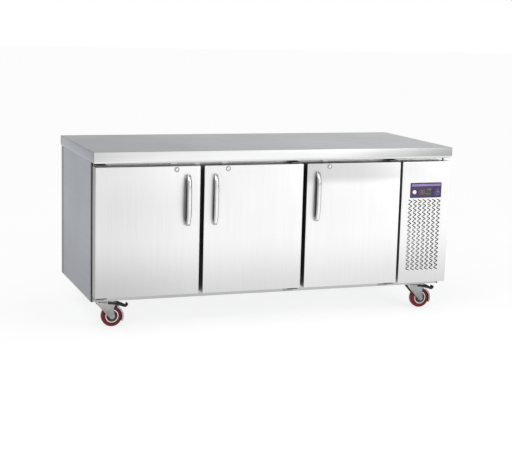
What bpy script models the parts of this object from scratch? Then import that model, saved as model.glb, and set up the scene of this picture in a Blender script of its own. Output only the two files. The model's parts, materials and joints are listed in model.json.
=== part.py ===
"""Three-door undercounter reach-in refrigerator with a worktop, on swivel casters.

Metres, +Z up. The origin is on the floor, under the middle of the overall box. The doors
face -Y, the machine compartment is at the +X end, and the casters trail towards +X.
"""

import math

import bmesh
import bpy
from mathutils import Euler, Matrix, Vector

# ------------------------------------------------------------------ driving dimensions
GAP = 0.0003                    # between pieces that touch
SHEET = 0.0012                  # folded sheet steel

# Worktop
WIDTH = 1.800                   # side to side
DEPTH = 0.760                   # front to back
HEIGHT = 0.830                  # floor to top face
APRON_HEIGHT = 0.052            # turned-down edge
WORKTOP_OVERHANG = 0.0055       # past each side of the body
WORKTOP_LIP = 0.010             # turned in under the apron
WORKTOP_BEVEL = 0.0015

# Body
BASE_SHEET = 0.002
SIDE_FLANGE = 0.008             # side panel turned in over the front frame
FRAME_DEPTH = 0.040
OPENING_MARGIN = 0.038          # door edge to the edge of the opening behind it
SILL_HEIGHT = 0.010             # opening's lower edge above the liner's floor
HEADER_DROP = 0.006             # opening's upper edge below the liner's ceiling
BACK_INSULATION = 0.050
MACHINE_STILE = 0.020           # frame beside the machine compartment's opening

# Doors
DOOR_HINGE_SIDES = (-1, 1, 1)   # -1 hinged at the left edge, 1 at the right edge
DOOR_THICKNESS = 0.060
DOOR_GAP = 0.0195               # between neighbouring doors
DOOR_SIDE_REVEAL = 0.003        # first door to the body's side
DOOR_TOP_GAP = 0.016            # below the worktop's apron
DOOR_BOTTOM_RISE = 0.031        # above the body's underside
DOOR_SETBACK = 0.002            # behind the worktop's front face
DOOR_BEVEL = 0.002
DOOR_RETURN = 0.012             # skin turned in at the back
DOOR_PLUG_INSET = 0.042
DOOR_PLUG_HEIGHT = 0.009
GASKET_THICKNESS = 0.015
GASKET_WIDTH = 0.014
GASKET_CLEAR_OF_HINGE = 0.002   # gasket's edge past the hinge axis, so that it lifts off

# Hinges
HINGE_INSET = 0.020             # axis to the door's hinged edge
HINGE_SETBACK = 0.020           # axis behind the door's face
HINGE_PIN_RADIUS = 0.004
HINGE_PIN_LENGTH = 0.012        # into the door
HINGE_PIN_CLEARANCE = 0.0005
HINGE_LEAF = 0.003
HINGE_LEAF_CLEARANCE = 0.004    # leaf to the door's end
HINGE_LEAF_OUTBOARD = 0.012     # from the axis towards the door's edge
HINGE_LEAF_INBOARD = 0.038
HINGE_LEAF_FRONT = 0.008        # leaf's front edge behind the door's face
HINGE_FLANGE_MARGIN = 0.003     # flange to the worktop, and to the body's underside

# Handles
HANDLE_INSETS = (0.061, 0.050, 0.050)  # centre line to the door's free edge
HANDLE_LENGTH = 0.243
HANDLE_DROP = 0.036             # below the door's top
HANDLE_WIDTH = 0.022
HANDLE_PROUD = 0.040            # from the door's face
HANDLE_END = 0.013              # how proud the bow is at its ends
HANDLE_BASE = 0.005
HANDLE_BOW = 0.006              # bow thickness
HANDLE_FOOT = 0.014             # solid length at each end
HANDLE_STEPS = 12

# Locks
LOCK_INSET = 0.114              # to the door's free edge
LOCK_DROP = 0.0155              # below the door's top
LOCK_HEAD_RADIUS = 0.012
LOCK_HEAD_PROUD = 0.0025
LOCK_BARREL_RADIUS = 0.008
LOCK_TAIL_RADIUS = 0.0045
LOCK_CAM_REACH = 0.026
LOCK_CAM_HEIGHT = 0.008
LOCK_CAM_THICKNESS = 0.003
LOCK_CAM_CLEARANCE = 0.002      # behind the door
LOCK_KEYWAY = (0.0016, 0.009, 0.0015)
STRIKE_WIDTH = 0.028
STRIKE_SHEET = 0.003
STRIKE_CLEARANCE = 0.003        # above the door

# Control panel, controller and its grille
PANEL_WIDTH = 0.2605
PANEL_GAP = 0.012               # to the last door
PANEL_BOTTOM_RISE = 0.025       # above the body's underside
CONTROLLER_DROP = 0.1045        # below the panel's top
BEZEL_SIZE = (0.170, 0.075)
BEZEL_PROUD = 0.0025
BEZEL_RIM = 0.005               # overlap on the panel
BEZEL_DEPTH = 0.030
DISPLAY_SIZE = (0.072, 0.034)
DISPLAY_OFFSET = (-0.006, -0.009)
DISPLAY_THICKNESS = 0.0015
BUTTON_OFFSET = (-0.0635, -0.008)
BUTTON_RADIUS = 0.010
BUTTON_PROUD = 0.004
BUTTON_LENGTH = 0.012
BUTTON_WELL = 0.016
KNOB_OFFSET = (0.058, -0.011)
KNOB_RADIUS = 0.019
KNOB_HEIGHT = 0.009
CONTROL_CLEARANCE = 0.0006
GRILLE_DROP = 0.1875            # below the panel's top
GRILLE_COLUMNS = 7
GRILLE_ROWS = 17
GRILLE_PITCH = (0.0255, 0.0215)
GRILLE_SLOT = (0.022, 0.005)
GRILLE_SLOT_ANGLE = math.radians(48)

# Shelves
SHELF_RISE = 0.270              # above the liner's floor
SHELF_BAR = 0.006
SHELF_PITCH = 0.042             # between its bars
SHELF_CLEARANCE = 0.004         # to walls and neighbouring shelves
SHELF_FRONT_CLEARANCE = 0.006
SHELF_CLIP = (0.030, 0.016, 0.010)

# Refrigeration
EVAPORATOR_COVER = (0.090, 0.420, 0.340)
EVAPORATOR_TOP_CLEARANCE = 0.020
EVAPORATOR_FRONT_CLEARANCE = 0.090
EVAPORATOR_COIL = (0.045, 0.370, 0.290)
EVAPORATOR_INTAKE = (0.020, 0.040)  # slot's width, and its distance from the cover's ends
EVAPORATOR_GUARD = 0.0048       # bar across the fan's hole
CONDENSER_SIZE = (0.200, 0.050, 0.280)
CONDENSER_SETBACK = 0.006       # behind the front frame
FIN_GROOVES = 9
FIN_GROOVE_DEPTH = 0.012
SHROUD_DEPTH = 0.030
FAN_BLADES = 5
CONDENSER_FAN_RADIUS = 0.085
EVAPORATOR_FAN_RADIUS = 0.072
FAN_TIP_CLEARANCE = 0.005
FAN_HUB_RADIUS = 0.022
FAN_DEPTH = 0.018
FAN_BLADE_PITCH = math.radians(28)
FAN_BLADE_ROOT = 0.020
FAN_BLADE_TIP = 0.044
FAN_BLADE_SHEET = 0.002
MOTOR_RADIUS = 0.030
MOTOR_LENGTH = 0.045
MOTOR_BAR = 0.012
COMPRESSOR_RADIUS = 0.072
COMPRESSOR_HEIGHT = 0.175
COMPRESSOR_DOME = 0.036         # rise of the domed top
COMPRESSOR_TAPER = 0.044        # height where the lower end starts to narrow
COMPRESSOR_SETBACK = 0.340      # its axis behind the front frame
COMPRESSOR_FOOT = (0.190, 0.120, 0.004)
INLET_SIZE = (0.050, 0.030, 0.028)
INLET_SOCKET = (0.036, 0.018, 0.018)
INLET_HEIGHT = 0.330            # above the body's underside
INLET_INSET = 0.060             # from the body's side
VENT_SLOTS = 9
VENT_SLOT = (0.160, 0.008)
VENT_PITCH = 0.024
VENT_RISE = 0.060

# Casters
CASTER_TRAIL = 0.038            # swivel axis to axle
CASTER_SIDE_INSETS = {          # swivel axis to the body's side
    "front_left": 0.069,
    "front_right": 0.1155,
    "rear_left": 0.1155,
    "rear_right": 0.1155,
}
CASTER_FRONT_INSET = 0.045
CASTER_REAR_INSET = 0.060
CASTER_PLATE = (0.095, 0.080, 0.003)
RACE_RADIUS = 0.028
RACE_HEIGHT = 0.007
WHEEL_DIAMETER = 0.100
WHEEL_CLEARANCE = 0.030         # tread to the body's underside
WHEEL_WIDTH = 0.032
WHEEL_SEGMENTS = 20
HUB_WIDTH = 0.035
HUB_RADIUS = 0.015
RIM_RADIUS = 0.036
TREAD_SHOULDER = 0.005
AXLE_RADIUS = 0.004
AXLE_CLEARANCE = 0.0005
FORK_SHEET = 0.003
FORK_CLEARANCE = 0.0015         # leg to hub
FORK_LOBE = 0.015               # around the axle
FORK_SPAN = (-0.034, 0.056)     # top of the legs, from the swivel axis
FORK_DRAFT = 0.002
FORK_SHOULDER = 0.015           # straight part of the legs below the bridge
FORK_BRIDGE_END = 0.036         # the pedal's slot starts here
PEDAL_WIDTH = 0.030
PEDAL_SHEET = 0.003
PEDAL_PIVOT = (0.050, -0.0175)  # from the swivel axis, below the body
PEDAL_PIN_RADIUS = 0.0025
PEDAL_BARREL_RADIUS = 0.005
PEDAL_LINE = ((0.0, 0.0), (0.028, -0.003), (0.046, -0.012), (0.058, -0.018), (0.062, -0.004))
PEDAL_PAD = ((0.010, -0.014), (0.018, -0.001))  # corners, from the pivot

# ------------------------------------------------------------------ derived places
HANDLE_REACH = HANDLE_PROUD - DOOR_SETBACK
WORKTOP_FRONT = (HANDLE_REACH - DEPTH) / 2
WORKTOP_BACK = WORKTOP_FRONT + DEPTH
WORKTOP_UNDERSIDE = HEIGHT - APRON_HEIGHT
DOOR_FACE = WORKTOP_FRONT + DOOR_SETBACK
DOOR_BACK = DOOR_FACE + DOOR_THICKNESS
BODY_LEFT = -WIDTH / 2 + WORKTOP_OVERHANG
BODY_RIGHT = WIDTH / 2 - WORKTOP_OVERHANG
BODY_FRONT = DOOR_BACK + GASKET_THICKNESS
BODY_BACK = WORKTOP_BACK
BODY_BOTTOM = WHEEL_DIAMETER + WHEEL_CLEARANCE
BODY_TOP = WORKTOP_UNDERSIDE - GAP
DOOR_TOP = WORKTOP_UNDERSIDE - DOOR_TOP_GAP
DOOR_BOTTOM = BODY_BOTTOM + DOOR_BOTTOM_RISE
PANEL_LEFT = BODY_RIGHT - PANEL_WIDTH
DOOR_COUNT = len(DOOR_HINGE_SIDES)
DOORS_LEFT = BODY_LEFT + DOOR_SIDE_REVEAL
DOOR_PITCH = (PANEL_LEFT - PANEL_GAP - DOORS_LEFT + DOOR_GAP) / DOOR_COUNT
DOOR_WIDTH = DOOR_PITCH - DOOR_GAP
GASKET_INSET = HINGE_INSET + GASKET_CLEAR_OF_HINGE

CAVITY_LEFT = DOORS_LEFT + OPENING_MARGIN
CAVITY_RIGHT = PANEL_LEFT - PANEL_GAP - OPENING_MARGIN
OPENING_BOTTOM = DOOR_BOTTOM + OPENING_MARGIN
OPENING_TOP = DOOR_TOP - OPENING_MARGIN
CAVITY_FLOOR = OPENING_BOTTOM - SILL_HEIGHT
CAVITY_CEILING = OPENING_TOP + HEADER_DROP
CAVITY_FRONT = BODY_FRONT + FRAME_DEPTH + GAP
CAVITY_BACK = BODY_BACK - BACK_INSULATION
SHELF_UNDERSIDE = CAVITY_FLOOR + SHELF_RISE
EVAPORATOR_LEFT = CAVITY_RIGHT - GAP - EVAPORATOR_COVER[0]

MACHINE_LEFT = PANEL_LEFT
MACHINE_RIGHT = BODY_RIGHT - SHEET - GAP
MACHINE_CENTRE = (MACHINE_LEFT + MACHINE_RIGHT) / 2
MACHINE_FLOOR = BODY_BOTTOM + BASE_SHEET + GAP
PANEL_CENTRE = (PANEL_LEFT + BODY_RIGHT) / 2
CONTROLLER_CENTRE = DOOR_TOP - CONTROLLER_DROP - BEZEL_SIZE[1] / 2
BEZEL_FACE = DOOR_FACE - BEZEL_PROUD

FORK_TOP = BODY_BOTTOM - GAP - CASTER_PLATE[2] - RACE_HEIGHT - GAP
FORK_SLOT = HUB_WIDTH / 2 + FORK_CLEARANCE
AXLE_HEIGHT = WHEEL_DIAMETER / 2

# ------------------------------------------------------------------ finishes
# colour, roughness, metallic
STEEL = ((0.80, 0.81, 0.82), 0.30, 1.0)
DARK_STEEL = ((0.45, 0.46, 0.47), 0.45, 1.0)
LINER_STEEL = ((0.74, 0.75, 0.76), 0.38, 1.0)
CHROME = ((0.88, 0.88, 0.90), 0.10, 1.0)
ZINC = ((0.66, 0.67, 0.68), 0.35, 1.0)
FOAM = ((0.86, 0.78, 0.52), 0.90, 0.0)
BLACK_RUBBER = ((0.03, 0.03, 0.03), 0.70, 0.0)
BLACK_PLASTIC = ((0.04, 0.04, 0.05), 0.45, 0.0)
BEZEL_PURPLE = ((0.11, 0.07, 0.17), 0.35, 0.0)
DISPLAY_GLASS = ((0.05, 0.05, 0.06), 0.10, 0.0)
LILAC = ((0.75, 0.68, 0.95), 0.30, 0.0)
KNOB_PURPLE = ((0.16, 0.10, 0.36), 0.25, 0.0)
BLACK_PAINT = ((0.03, 0.03, 0.03), 0.40, 0.0)
ALUMINIUM = ((0.80, 0.81, 0.82), 0.40, 1.0)
COATED_WIRE = ((0.80, 0.80, 0.80), 0.35, 0.0)
WHEEL_RED = ((0.42, 0.03, 0.03), 0.35, 0.0)

# ------------------------------------------------------------------ scene
for old in list(bpy.data.objects):
    bpy.data.objects.remove(old, do_unlink=True)

PARTS = bpy.data.collections.new("reach_in_refrigerator")
TOOLS = bpy.data.collections.new("cutters")
bpy.context.scene.collection.children.link(PARTS)
bpy.context.scene.collection.children.link(TOOLS)

FACING = {                      # turns local +Z towards this axis
    "X": Euler((0, math.radians(90), 0)),
    "Y": Euler((math.radians(-90), 0, 0)),
    "Z": Euler((0, 0, 0)),
}
PLANES = {                      # lays local XY in this plane
    "XY": Euler((0, 0, 0)),
    "XZ": Euler((math.radians(90), 0, 0)),
    "YZ": Euler((math.radians(90), 0, math.radians(90))),
}


# ------------------------------------------------------------------ helpers
def add(name, mesh, origin, finish, rotation=None):
    """Puts a mesh in the scene: as a part with its own material, or as a tool when finish is None."""
    obj = bpy.data.objects.new(name, mesh)
    obj.location = origin
    if rotation:
        obj.rotation_euler = rotation
    if finish:
        colour, roughness, metallic = finish
        material = bpy.data.materials.new(name)
        material.use_nodes = True
        shader = material.node_tree.nodes["Principled BSDF"]
        shader.inputs["Base Color"].default_value = (*colour, 1.0)
        shader.inputs["Roughness"].default_value = roughness
        shader.inputs["Metallic"].default_value = metallic
        material.diffuse_color = (*colour, 1.0)
        mesh.materials.append(material)
        PARTS.objects.link(obj)
    else:
        obj.hide_render = True
        obj.display_type = "WIRE"
        TOOLS.objects.link(obj)
    return obj


def mesh_of(name, build):
    """A mesh that the function build fills in."""
    mesh = bpy.data.meshes.new(name)
    bm = bmesh.new()
    build(bm)
    bm.to_mesh(mesh)
    bm.free()
    return mesh


def box(name, low, high, finish=None, bevel=0.0, bevel_segments=1):
    """A box between two corners."""
    low, high = Vector(low), Vector(high)
    size = high - low

    def build(bm):
        bmesh.ops.create_cube(bm, size=1.0, matrix=Matrix.Diagonal((*size, 1.0)))

    obj = add(name, mesh_of(name, build), (low + high) / 2, finish)
    if bevel:
        modifier = obj.modifiers.new("edges", "BEVEL")
        modifier.width = bevel
        modifier.segments = bevel_segments
    return obj


def cylinder(name, centre, facing, radius, length, finish=None, segments=16):
    """A cylinder about an axis, centred on a point."""

    def build(bm):
        bmesh.ops.create_cone(bm, cap_ends=True, segments=segments, radius1=radius,
                              radius2=radius, depth=length)

    obj = add(name, mesh_of(name, build), centre, finish, FACING[facing])
    obj.data.shade_smooth()
    obj.data.set_sharp_from_angle(angle=math.radians(40))
    return obj


def lathe(name, profile, origin, facing, finish=None, segments=20, closed=False, turn=0.0):
    """A profile of (radius, height) points turned about an axis, from top to bottom."""

    def build(bm):
        points = [bm.verts.new((radius, 0.0, height)) for radius, height in profile]
        for start, end in zip(points, points[1:]):
            bm.edges.new((start, end))
        if closed:
            bm.edges.new((points[-1], points[0]))
        bmesh.ops.rotate(bm, verts=bm.verts, cent=(0, 0, 0), matrix=Matrix.Rotation(turn, 3, "Z"))

    obj = add(name, mesh_of(name, build), origin, finish, FACING[facing])
    screw = obj.modifiers.new("turn", "SCREW")
    screw.steps = segments
    screw.render_steps = segments
    screw.use_merge_vertices = True
    screw.merge_threshold = 0.00005
    screw.use_smooth_shade = True
    return obj


def prism(name, outline, thickness, plane, origin, finish=None, holes=()):
    """A flat outline, with any holes, thickened evenly to both sides of its plane."""
    curve = bpy.data.curves.new(name, "CURVE")
    curve.dimensions = "2D"
    curve.fill_mode = "BOTH"
    curve.extrude = thickness / 2
    for loop in (outline, *holes):
        spline = curve.splines.new("POLY")
        spline.points.add(len(loop) - 1)
        for point, (across, up) in zip(spline.points, loop):
            point.co = (across, up, 0.0, 1.0)
        spline.use_cyclic_u = True
    flat = bpy.data.objects.new(name, curve)
    TOOLS.objects.link(flat)
    graph = bpy.context.evaluated_depsgraph_get()
    mesh = bpy.data.meshes.new_from_object(flat.evaluated_get(graph))
    bm = bmesh.new()
    bm.from_mesh(mesh)
    bmesh.ops.remove_doubles(bm, verts=bm.verts, dist=0.00005)
    bmesh.ops.recalc_face_normals(bm, faces=bm.faces)
    bm.to_mesh(mesh)
    bm.free()
    bpy.data.objects.remove(flat, do_unlink=True)
    return add(name, mesh, origin, finish, PLANES[plane])


def boolean(target, tool, operation):
    modifier = target.modifiers.new(tool.name, "BOOLEAN")
    modifier.operation = operation
    modifier.solver = "EXACT"
    modifier.object = tool


def cut(target, *tools):
    for tool in tools:
        boolean(target, tool, "DIFFERENCE")


def fuse(target, *tools):
    for tool in tools:
        boolean(target, tool, "UNION")


def axis_empty(name, place):
    """An empty on a joint's axis, to which the pieces that turn about it are parented."""
    empty = bpy.data.objects.new(name, None)
    empty.empty_display_size = 0.05
    empty.location = place
    PARTS.objects.link(empty)
    return empty


def attach(empty, *pieces):
    for piece in pieces:
        piece.parent = empty
        piece.location = piece.location - empty.location


def arc(centre, radius, start, end, steps):
    """Points along an arc, in degrees, in the outline's own plane."""
    points = []
    for step in range(steps + 1):
        angle = math.radians(start + (end - start) * step / steps)
        points.append((centre[0] + radius * math.cos(angle), centre[1] + radius * math.sin(angle)))
    return points


def strip(points, thickness):
    """The outline of a bent strip about a line of points."""
    sides = ([], [])
    for index, point in enumerate(points):
        before = Vector(points[max(index - 1, 0)])
        after = Vector(points[min(index + 1, len(points) - 1)])
        along = (after - before).normalized()
        across = Vector((-along.y, along.x)) * thickness / 2
        sides[0].append(tuple(Vector(point) + across))
        sides[1].append(tuple(Vector(point) - across))
    return sides[0] + sides[1][::-1]


# ------------------------------------------------------------------ worktop and body
def make_worktop():
    low = Vector((-WIDTH / 2, WORKTOP_FRONT, WORKTOP_UNDERSIDE))
    high = Vector((WIDTH / 2, WORKTOP_BACK, HEIGHT))
    sheet = Vector((SHEET, SHEET, SHEET))
    lip = Vector((WORKTOP_LIP, WORKTOP_LIP, -SHEET))
    shell = box("worktop", low, high, STEEL, WORKTOP_BEVEL)
    cut(shell, box("worktop_hollow", low + sheet, high - sheet))
    opening_high = Vector((high.x, high.y, low.z + 2 * SHEET)) - Vector((WORKTOP_LIP, WORKTOP_LIP, 0))
    cut(shell, box("worktop_mouth", low + lip, opening_high))
    clear = sheet + Vector((GAP, GAP, GAP))
    box("worktop_core", low + clear, high - clear, FOAM)


def make_side_panel(name, side):
    """A flat side with narrow flanges turned in over the front frame and behind the back."""
    outer = BODY_LEFT if side < 0 else BODY_RIGHT
    inner = outer - side * SHEET
    front = BODY_FRONT - GAP - SHEET
    panel = box(name, (min(outer, inner), front, BODY_BOTTOM), (max(outer, inner), BODY_BACK, BODY_TOP),
                STEEL)
    edge = outer - side * SIDE_FLANGE
    middle = outer - side * SHEET / 2
    fuse(panel, box(name + "_flange", (min(edge, middle), front, BODY_BOTTOM + GAP),
                    (max(edge, middle), front + SHEET, BODY_TOP - GAP)))


def make_back_panel():
    left, right = BODY_LEFT + SHEET + GAP, BODY_RIGHT - SHEET - GAP
    panel = box("back_panel", (left, BODY_BACK - SHEET, BODY_BOTTOM), (right, BODY_BACK, BODY_TOP), STEEL)
    first = BODY_BOTTOM + VENT_RISE
    for index in range(VENT_SLOTS):
        low = first + index * VENT_PITCH
        cut(panel, box(f"vent_{index}",
                       (MACHINE_CENTRE - VENT_SLOT[0] / 2, BODY_BACK - 2 * SHEET, low),
                       (MACHINE_CENTRE + VENT_SLOT[0] / 2, BODY_BACK + SHEET, low + VENT_SLOT[1])))
    centre = Vector((BODY_RIGHT - INLET_INSET, BODY_BACK, BODY_BOTTOM + INLET_HEIGHT))
    half = Vector((INLET_SIZE[0] / 2, INLET_SIZE[2], INLET_SIZE[1] / 2))
    clearance = Vector((GAP, 0, GAP))
    cut(panel, box("inlet_hole", centre - half - clearance, centre + half + clearance))
    inlet = box("power_inlet", centre - half, centre + Vector((half.x, 0, half.z)), BLACK_PLASTIC)
    socket = Vector((INLET_SOCKET[0] / 2, INLET_SOCKET[2], INLET_SOCKET[1] / 2))
    cut(inlet, box("inlet_socket", centre - socket, centre + socket))


def make_base_panel():
    box("base_panel", (BODY_LEFT + SHEET + GAP, BODY_FRONT, BODY_BOTTOM),
        (BODY_RIGHT - SHEET - GAP, BODY_BACK - SHEET - GAP, BODY_BOTTOM + BASE_SHEET), DARK_STEEL)


def make_insulation():
    """Foam around the liner, reaching forward into the hollow front frame."""
    low = Vector((BODY_LEFT + SHEET + GAP, CAVITY_FRONT, BODY_BOTTOM + BASE_SHEET + GAP))
    high = Vector((MACHINE_LEFT, BODY_BACK - SHEET - GAP, BODY_TOP))
    foam = box("insulation", low, high, FOAM)
    room = SHEET + GAP
    fuse(foam, box("frame_filling", (low.x + room, BODY_FRONT + room, low.z + room),
                   (high.x - GAP, CAVITY_FRONT + FRAME_DEPTH, high.z - room)))
    cut(foam, box("insulation_hollow",
                  (CAVITY_LEFT - room, CAVITY_FRONT - GAP, CAVITY_FLOOR - room),
                  (CAVITY_RIGHT + room, CAVITY_BACK + room, CAVITY_CEILING + room)))
    cut(foam, *door_openings("filling", room), *clip_rails("filling", GAP))


def shelf_clip_columns():
    """The lines between the doors, where two shelves share their clips."""
    return [DOORS_LEFT + index * DOOR_PITCH - DOOR_GAP / 2 for index in range(1, DOOR_COUNT)]


def clip(name, centre_x, low_y, high_y):
    return box(name, (centre_x - SHELF_CLIP[0] / 2, low_y, SHELF_UNDERSIDE - GAP - SHELF_CLIP[2]),
               (centre_x + SHELF_CLIP[0] / 2, high_y, SHELF_UNDERSIDE - GAP))


def make_liner():
    liner = box("inner_liner",
                (CAVITY_LEFT - SHEET, CAVITY_FRONT, CAVITY_FLOOR - SHEET),
                (CAVITY_RIGHT + SHEET, CAVITY_BACK + SHEET, CAVITY_CEILING + SHEET), LINER_STEEL)
    cut(liner, box("liner_hollow", (CAVITY_LEFT, CAVITY_FRONT - SHEET, CAVITY_FLOOR),
                   (CAVITY_RIGHT, CAVITY_BACK, CAVITY_CEILING)))
    back_low, back_high = CAVITY_BACK - SHELF_CLIP[1], CAVITY_BACK + SHEET / 2
    for index, column in enumerate(shelf_clip_columns()):
        fuse(liner, clip(f"back_clip_{index}", column, back_low, back_high))
    side = CAVITY_LEFT - SHEET / 2 + SHELF_CLIP[0] / 2
    front_low = CAVITY_FRONT + SHELF_FRONT_CLEARANCE
    fuse(liner, clip("side_clip_front", side, front_low, front_low + SHELF_CLIP[1]))
    fuse(liner, clip("side_clip_back", side, CAVITY_BACK - 2 * SHELF_CLIP[1], back_low))


def opening_edges(index):
    left = DOORS_LEFT + index * DOOR_PITCH
    return left + OPENING_MARGIN, left + DOOR_WIDTH - OPENING_MARGIN


def door_openings(name, grown=0.0):
    """Boxes through the front frame at each door opening."""
    boxes = []
    for index in range(DOOR_COUNT):
        left, right = opening_edges(index)
        boxes.append(box(f"{name}_opening_{index + 1}",
                         (left - grown, BODY_FRONT - FRAME_DEPTH, OPENING_BOTTOM - grown),
                         (right + grown, CAVITY_FRONT + grown, OPENING_TOP + grown)))
    return boxes


def clip_rails(name, grown=0.0):
    """Bars across the hollow stiles between the doors, which carry the front shelf clips."""
    half = OPENING_MARGIN + DOOR_GAP / 2
    top = SHELF_UNDERSIDE - GAP
    return [box(f"{name}_rail_{index}",
                (column - half, BODY_FRONT - FRAME_DEPTH, top - SHELF_CLIP[2] - grown),
                (column + half, CAVITY_FRONT - GAP + grown, top + grown))
            for index, column in enumerate(shelf_clip_columns())]


def free_edge(index):
    """The x of a door's free edge, and the direction from there into the door."""
    left = DOORS_LEFT + index * DOOR_PITCH
    if DOOR_HINGE_SIDES[index] < 0:
        return left + DOOR_WIDTH, -1
    return left, 1


def lock_place(index):
    edge, inward = free_edge(index)
    return edge + inward * LOCK_INSET, DOOR_TOP - LOCK_DROP


def make_front_frame():
    """The face that the doors close on: hollow stiles around the three door openings and the
    machine opening, with a strike for each lock under the worktop."""
    low = Vector((BODY_LEFT + SHEET + GAP, BODY_FRONT, BODY_BOTTOM + BASE_SHEET + GAP))
    high = Vector((BODY_RIGHT - SHEET - GAP, BODY_FRONT + FRAME_DEPTH, BODY_TOP))
    frame = box("front_frame", low, high, STEEL)
    sheet = Vector((SHEET, SHEET, SHEET))

    def machine_opening(name, grown=0.0):
        return box(name, (PANEL_LEFT + MACHINE_STILE - grown, BODY_FRONT - FRAME_DEPTH,
                          low.z + MACHINE_STILE - grown),
                   (BODY_RIGHT - MACHINE_STILE + grown, high.y + FRAME_DEPTH, OPENING_TOP + grown))

    hollow = box("frame_hollow", low + sheet, high + Vector((-SHEET, SHEET, -SHEET)))
    cut(hollow, *door_openings("return", SHEET), machine_opening("machine_return", SHEET),
        *clip_rails("frame"))
    cut(frame, hollow, *door_openings("frame"), machine_opening("machine_opening"))
    back = high.y
    for index, column in enumerate(shelf_clip_columns()):
        fuse(frame, clip(f"front_clip_{index}", column, back - SHELF_CLIP[1],
                         back + SHELF_FRONT_CLEARANCE + SHELF_CLIP[1]))
    ceiling = BODY_TOP - GAP
    for index in range(DOOR_COUNT):
        x, _ = lock_place(index)
        left, right = x - STRIKE_WIDTH / 2, x + STRIKE_WIDTH / 2
        lip_back = DOOR_BACK - LOCK_CAM_CLEARANCE
        strike = box(f"strike_{index + 1}", (left, lip_back - STRIKE_SHEET, ceiling - STRIKE_SHEET),
                     (right, BODY_FRONT + SHEET / 2, ceiling))
        lip = box(f"strike_lip_{index + 1}", (left, lip_back - STRIKE_SHEET, DOOR_TOP + STRIKE_CLEARANCE),
                  (right, lip_back, ceiling - STRIKE_SHEET / 2))
        fuse(strike, lip)
        fuse(frame, strike)


# ------------------------------------------------------------------ doors
def make_door(index):
    """One door: its skin, foamed core, gasket, handle and lock, all hung on the hinge axis."""
    number = index + 1
    left = DOORS_LEFT + index * DOOR_PITCH
    right = left + DOOR_WIDTH
    side = DOOR_HINGE_SIDES[index]
    hinge_x = left + HINGE_INSET if side < 0 else right - HINGE_INSET
    hinge_y = DOOR_FACE + HINGE_SETBACK
    axis = axis_empty(f"door_{number}_axis", (hinge_x, hinge_y, (DOOR_BOTTOM + DOOR_TOP) / 2))

    def slab(name, inset, front, back, finish=None, bevel=0.0):
        low = (left + inset, front, DOOR_BOTTOM + inset)
        high = (right - inset, back, DOOR_TOP - inset)
        return box(name, low, high, finish, bevel)

    skin = slab(f"door_skin_{number}", 0.0, DOOR_FACE, DOOR_BACK, STEEL, DOOR_BEVEL)
    cut(skin, slab(f"skin_hollow_{number}", SHEET, DOOR_FACE + SHEET, DOOR_BACK - SHEET))
    cut(skin, slab(f"skin_mouth_{number}", DOOR_RETURN, DOOR_BACK - 2 * SHEET, DOOR_BACK + SHEET))
    core = slab(f"door_core_{number}", SHEET + GAP, DOOR_FACE + SHEET + GAP, DOOR_BACK - SHEET - GAP,
                LINER_STEEL)
    fuse(core, slab(f"core_back_{number}", DOOR_RETURN + GAP, DOOR_BACK - 2 * DOOR_RETURN, DOOR_BACK))
    fuse(core, slab(f"core_plug_{number}", DOOR_PLUG_INSET, DOOR_BACK - DOOR_RETURN,
                    DOOR_BACK + DOOR_PLUG_HEIGHT))

    gasket = slab(f"gasket_{number}", GASKET_INSET, DOOR_BACK + GAP, BODY_FRONT - GAP, BLACK_RUBBER)
    cut(gasket, slab(f"gasket_hole_{number}", GASKET_INSET + GASKET_WIDTH, DOOR_BACK - GAP,
                     BODY_FRONT + GAP))

    for end, place in (("top", DOOR_TOP), ("bottom", DOOR_BOTTOM)):
        bore = cylinder(f"pin_bore_{end}_{number}", (hinge_x, hinge_y, place), "Z",
                        HINGE_PIN_RADIUS + HINGE_PIN_CLEARANCE, 2 * (HINGE_PIN_LENGTH + GAP * 2),
                        segments=12)
        cut(skin, bore)
        cut(core, bore)
    lock_x, lock_z = lock_place(index)
    lock_bore = cylinder(f"lock_bore_{number}", (lock_x, (DOOR_FACE + DOOR_BACK) / 2, lock_z), "Y",
                         LOCK_BARREL_RADIUS + GAP * 2, DOOR_THICKNESS + 4 * SHEET, segments=16)
    cut(skin, lock_bore)
    cut(core, lock_bore)

    handle = make_handle(index)
    lock = make_lock(index)
    attach(axis, skin, core, gasket, handle, lock)
    make_hinge(index, hinge_x, hinge_y)


def make_handle(index):
    """A bow on a flat base, drawn side on and given its width."""
    edge, inward = free_edge(index)
    middle = DOOR_TOP - HANDLE_DROP - HANDLE_LENGTH / 2
    half = HANDLE_LENGTH / 2

    def bow(depth, reach):
        rise = HANDLE_PROUD - HANDLE_END
        places = [reach * (2 * step / HANDLE_STEPS - 1) for step in range(HANDLE_STEPS + 1)]
        return [(-(HANDLE_END + rise * (1 - place ** 2) - depth), place * half) for place in places]

    outer = [(-GAP, -half), *bow(0.0, 1.0), (-GAP, half)]
    hole_reach = 1 - HANDLE_FOOT / half
    inner_bow = bow(HANDLE_BOW, hole_reach)
    inner = [(-HANDLE_BASE, -hole_reach * half), *inner_bow, (-HANDLE_BASE, hole_reach * half)]
    return prism(f"handle_{index + 1}", outer, HANDLE_WIDTH, "YZ",
                 (edge + inward * HANDLE_INSETS[index], DOOR_FACE, middle), CHROME, (inner,))


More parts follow.
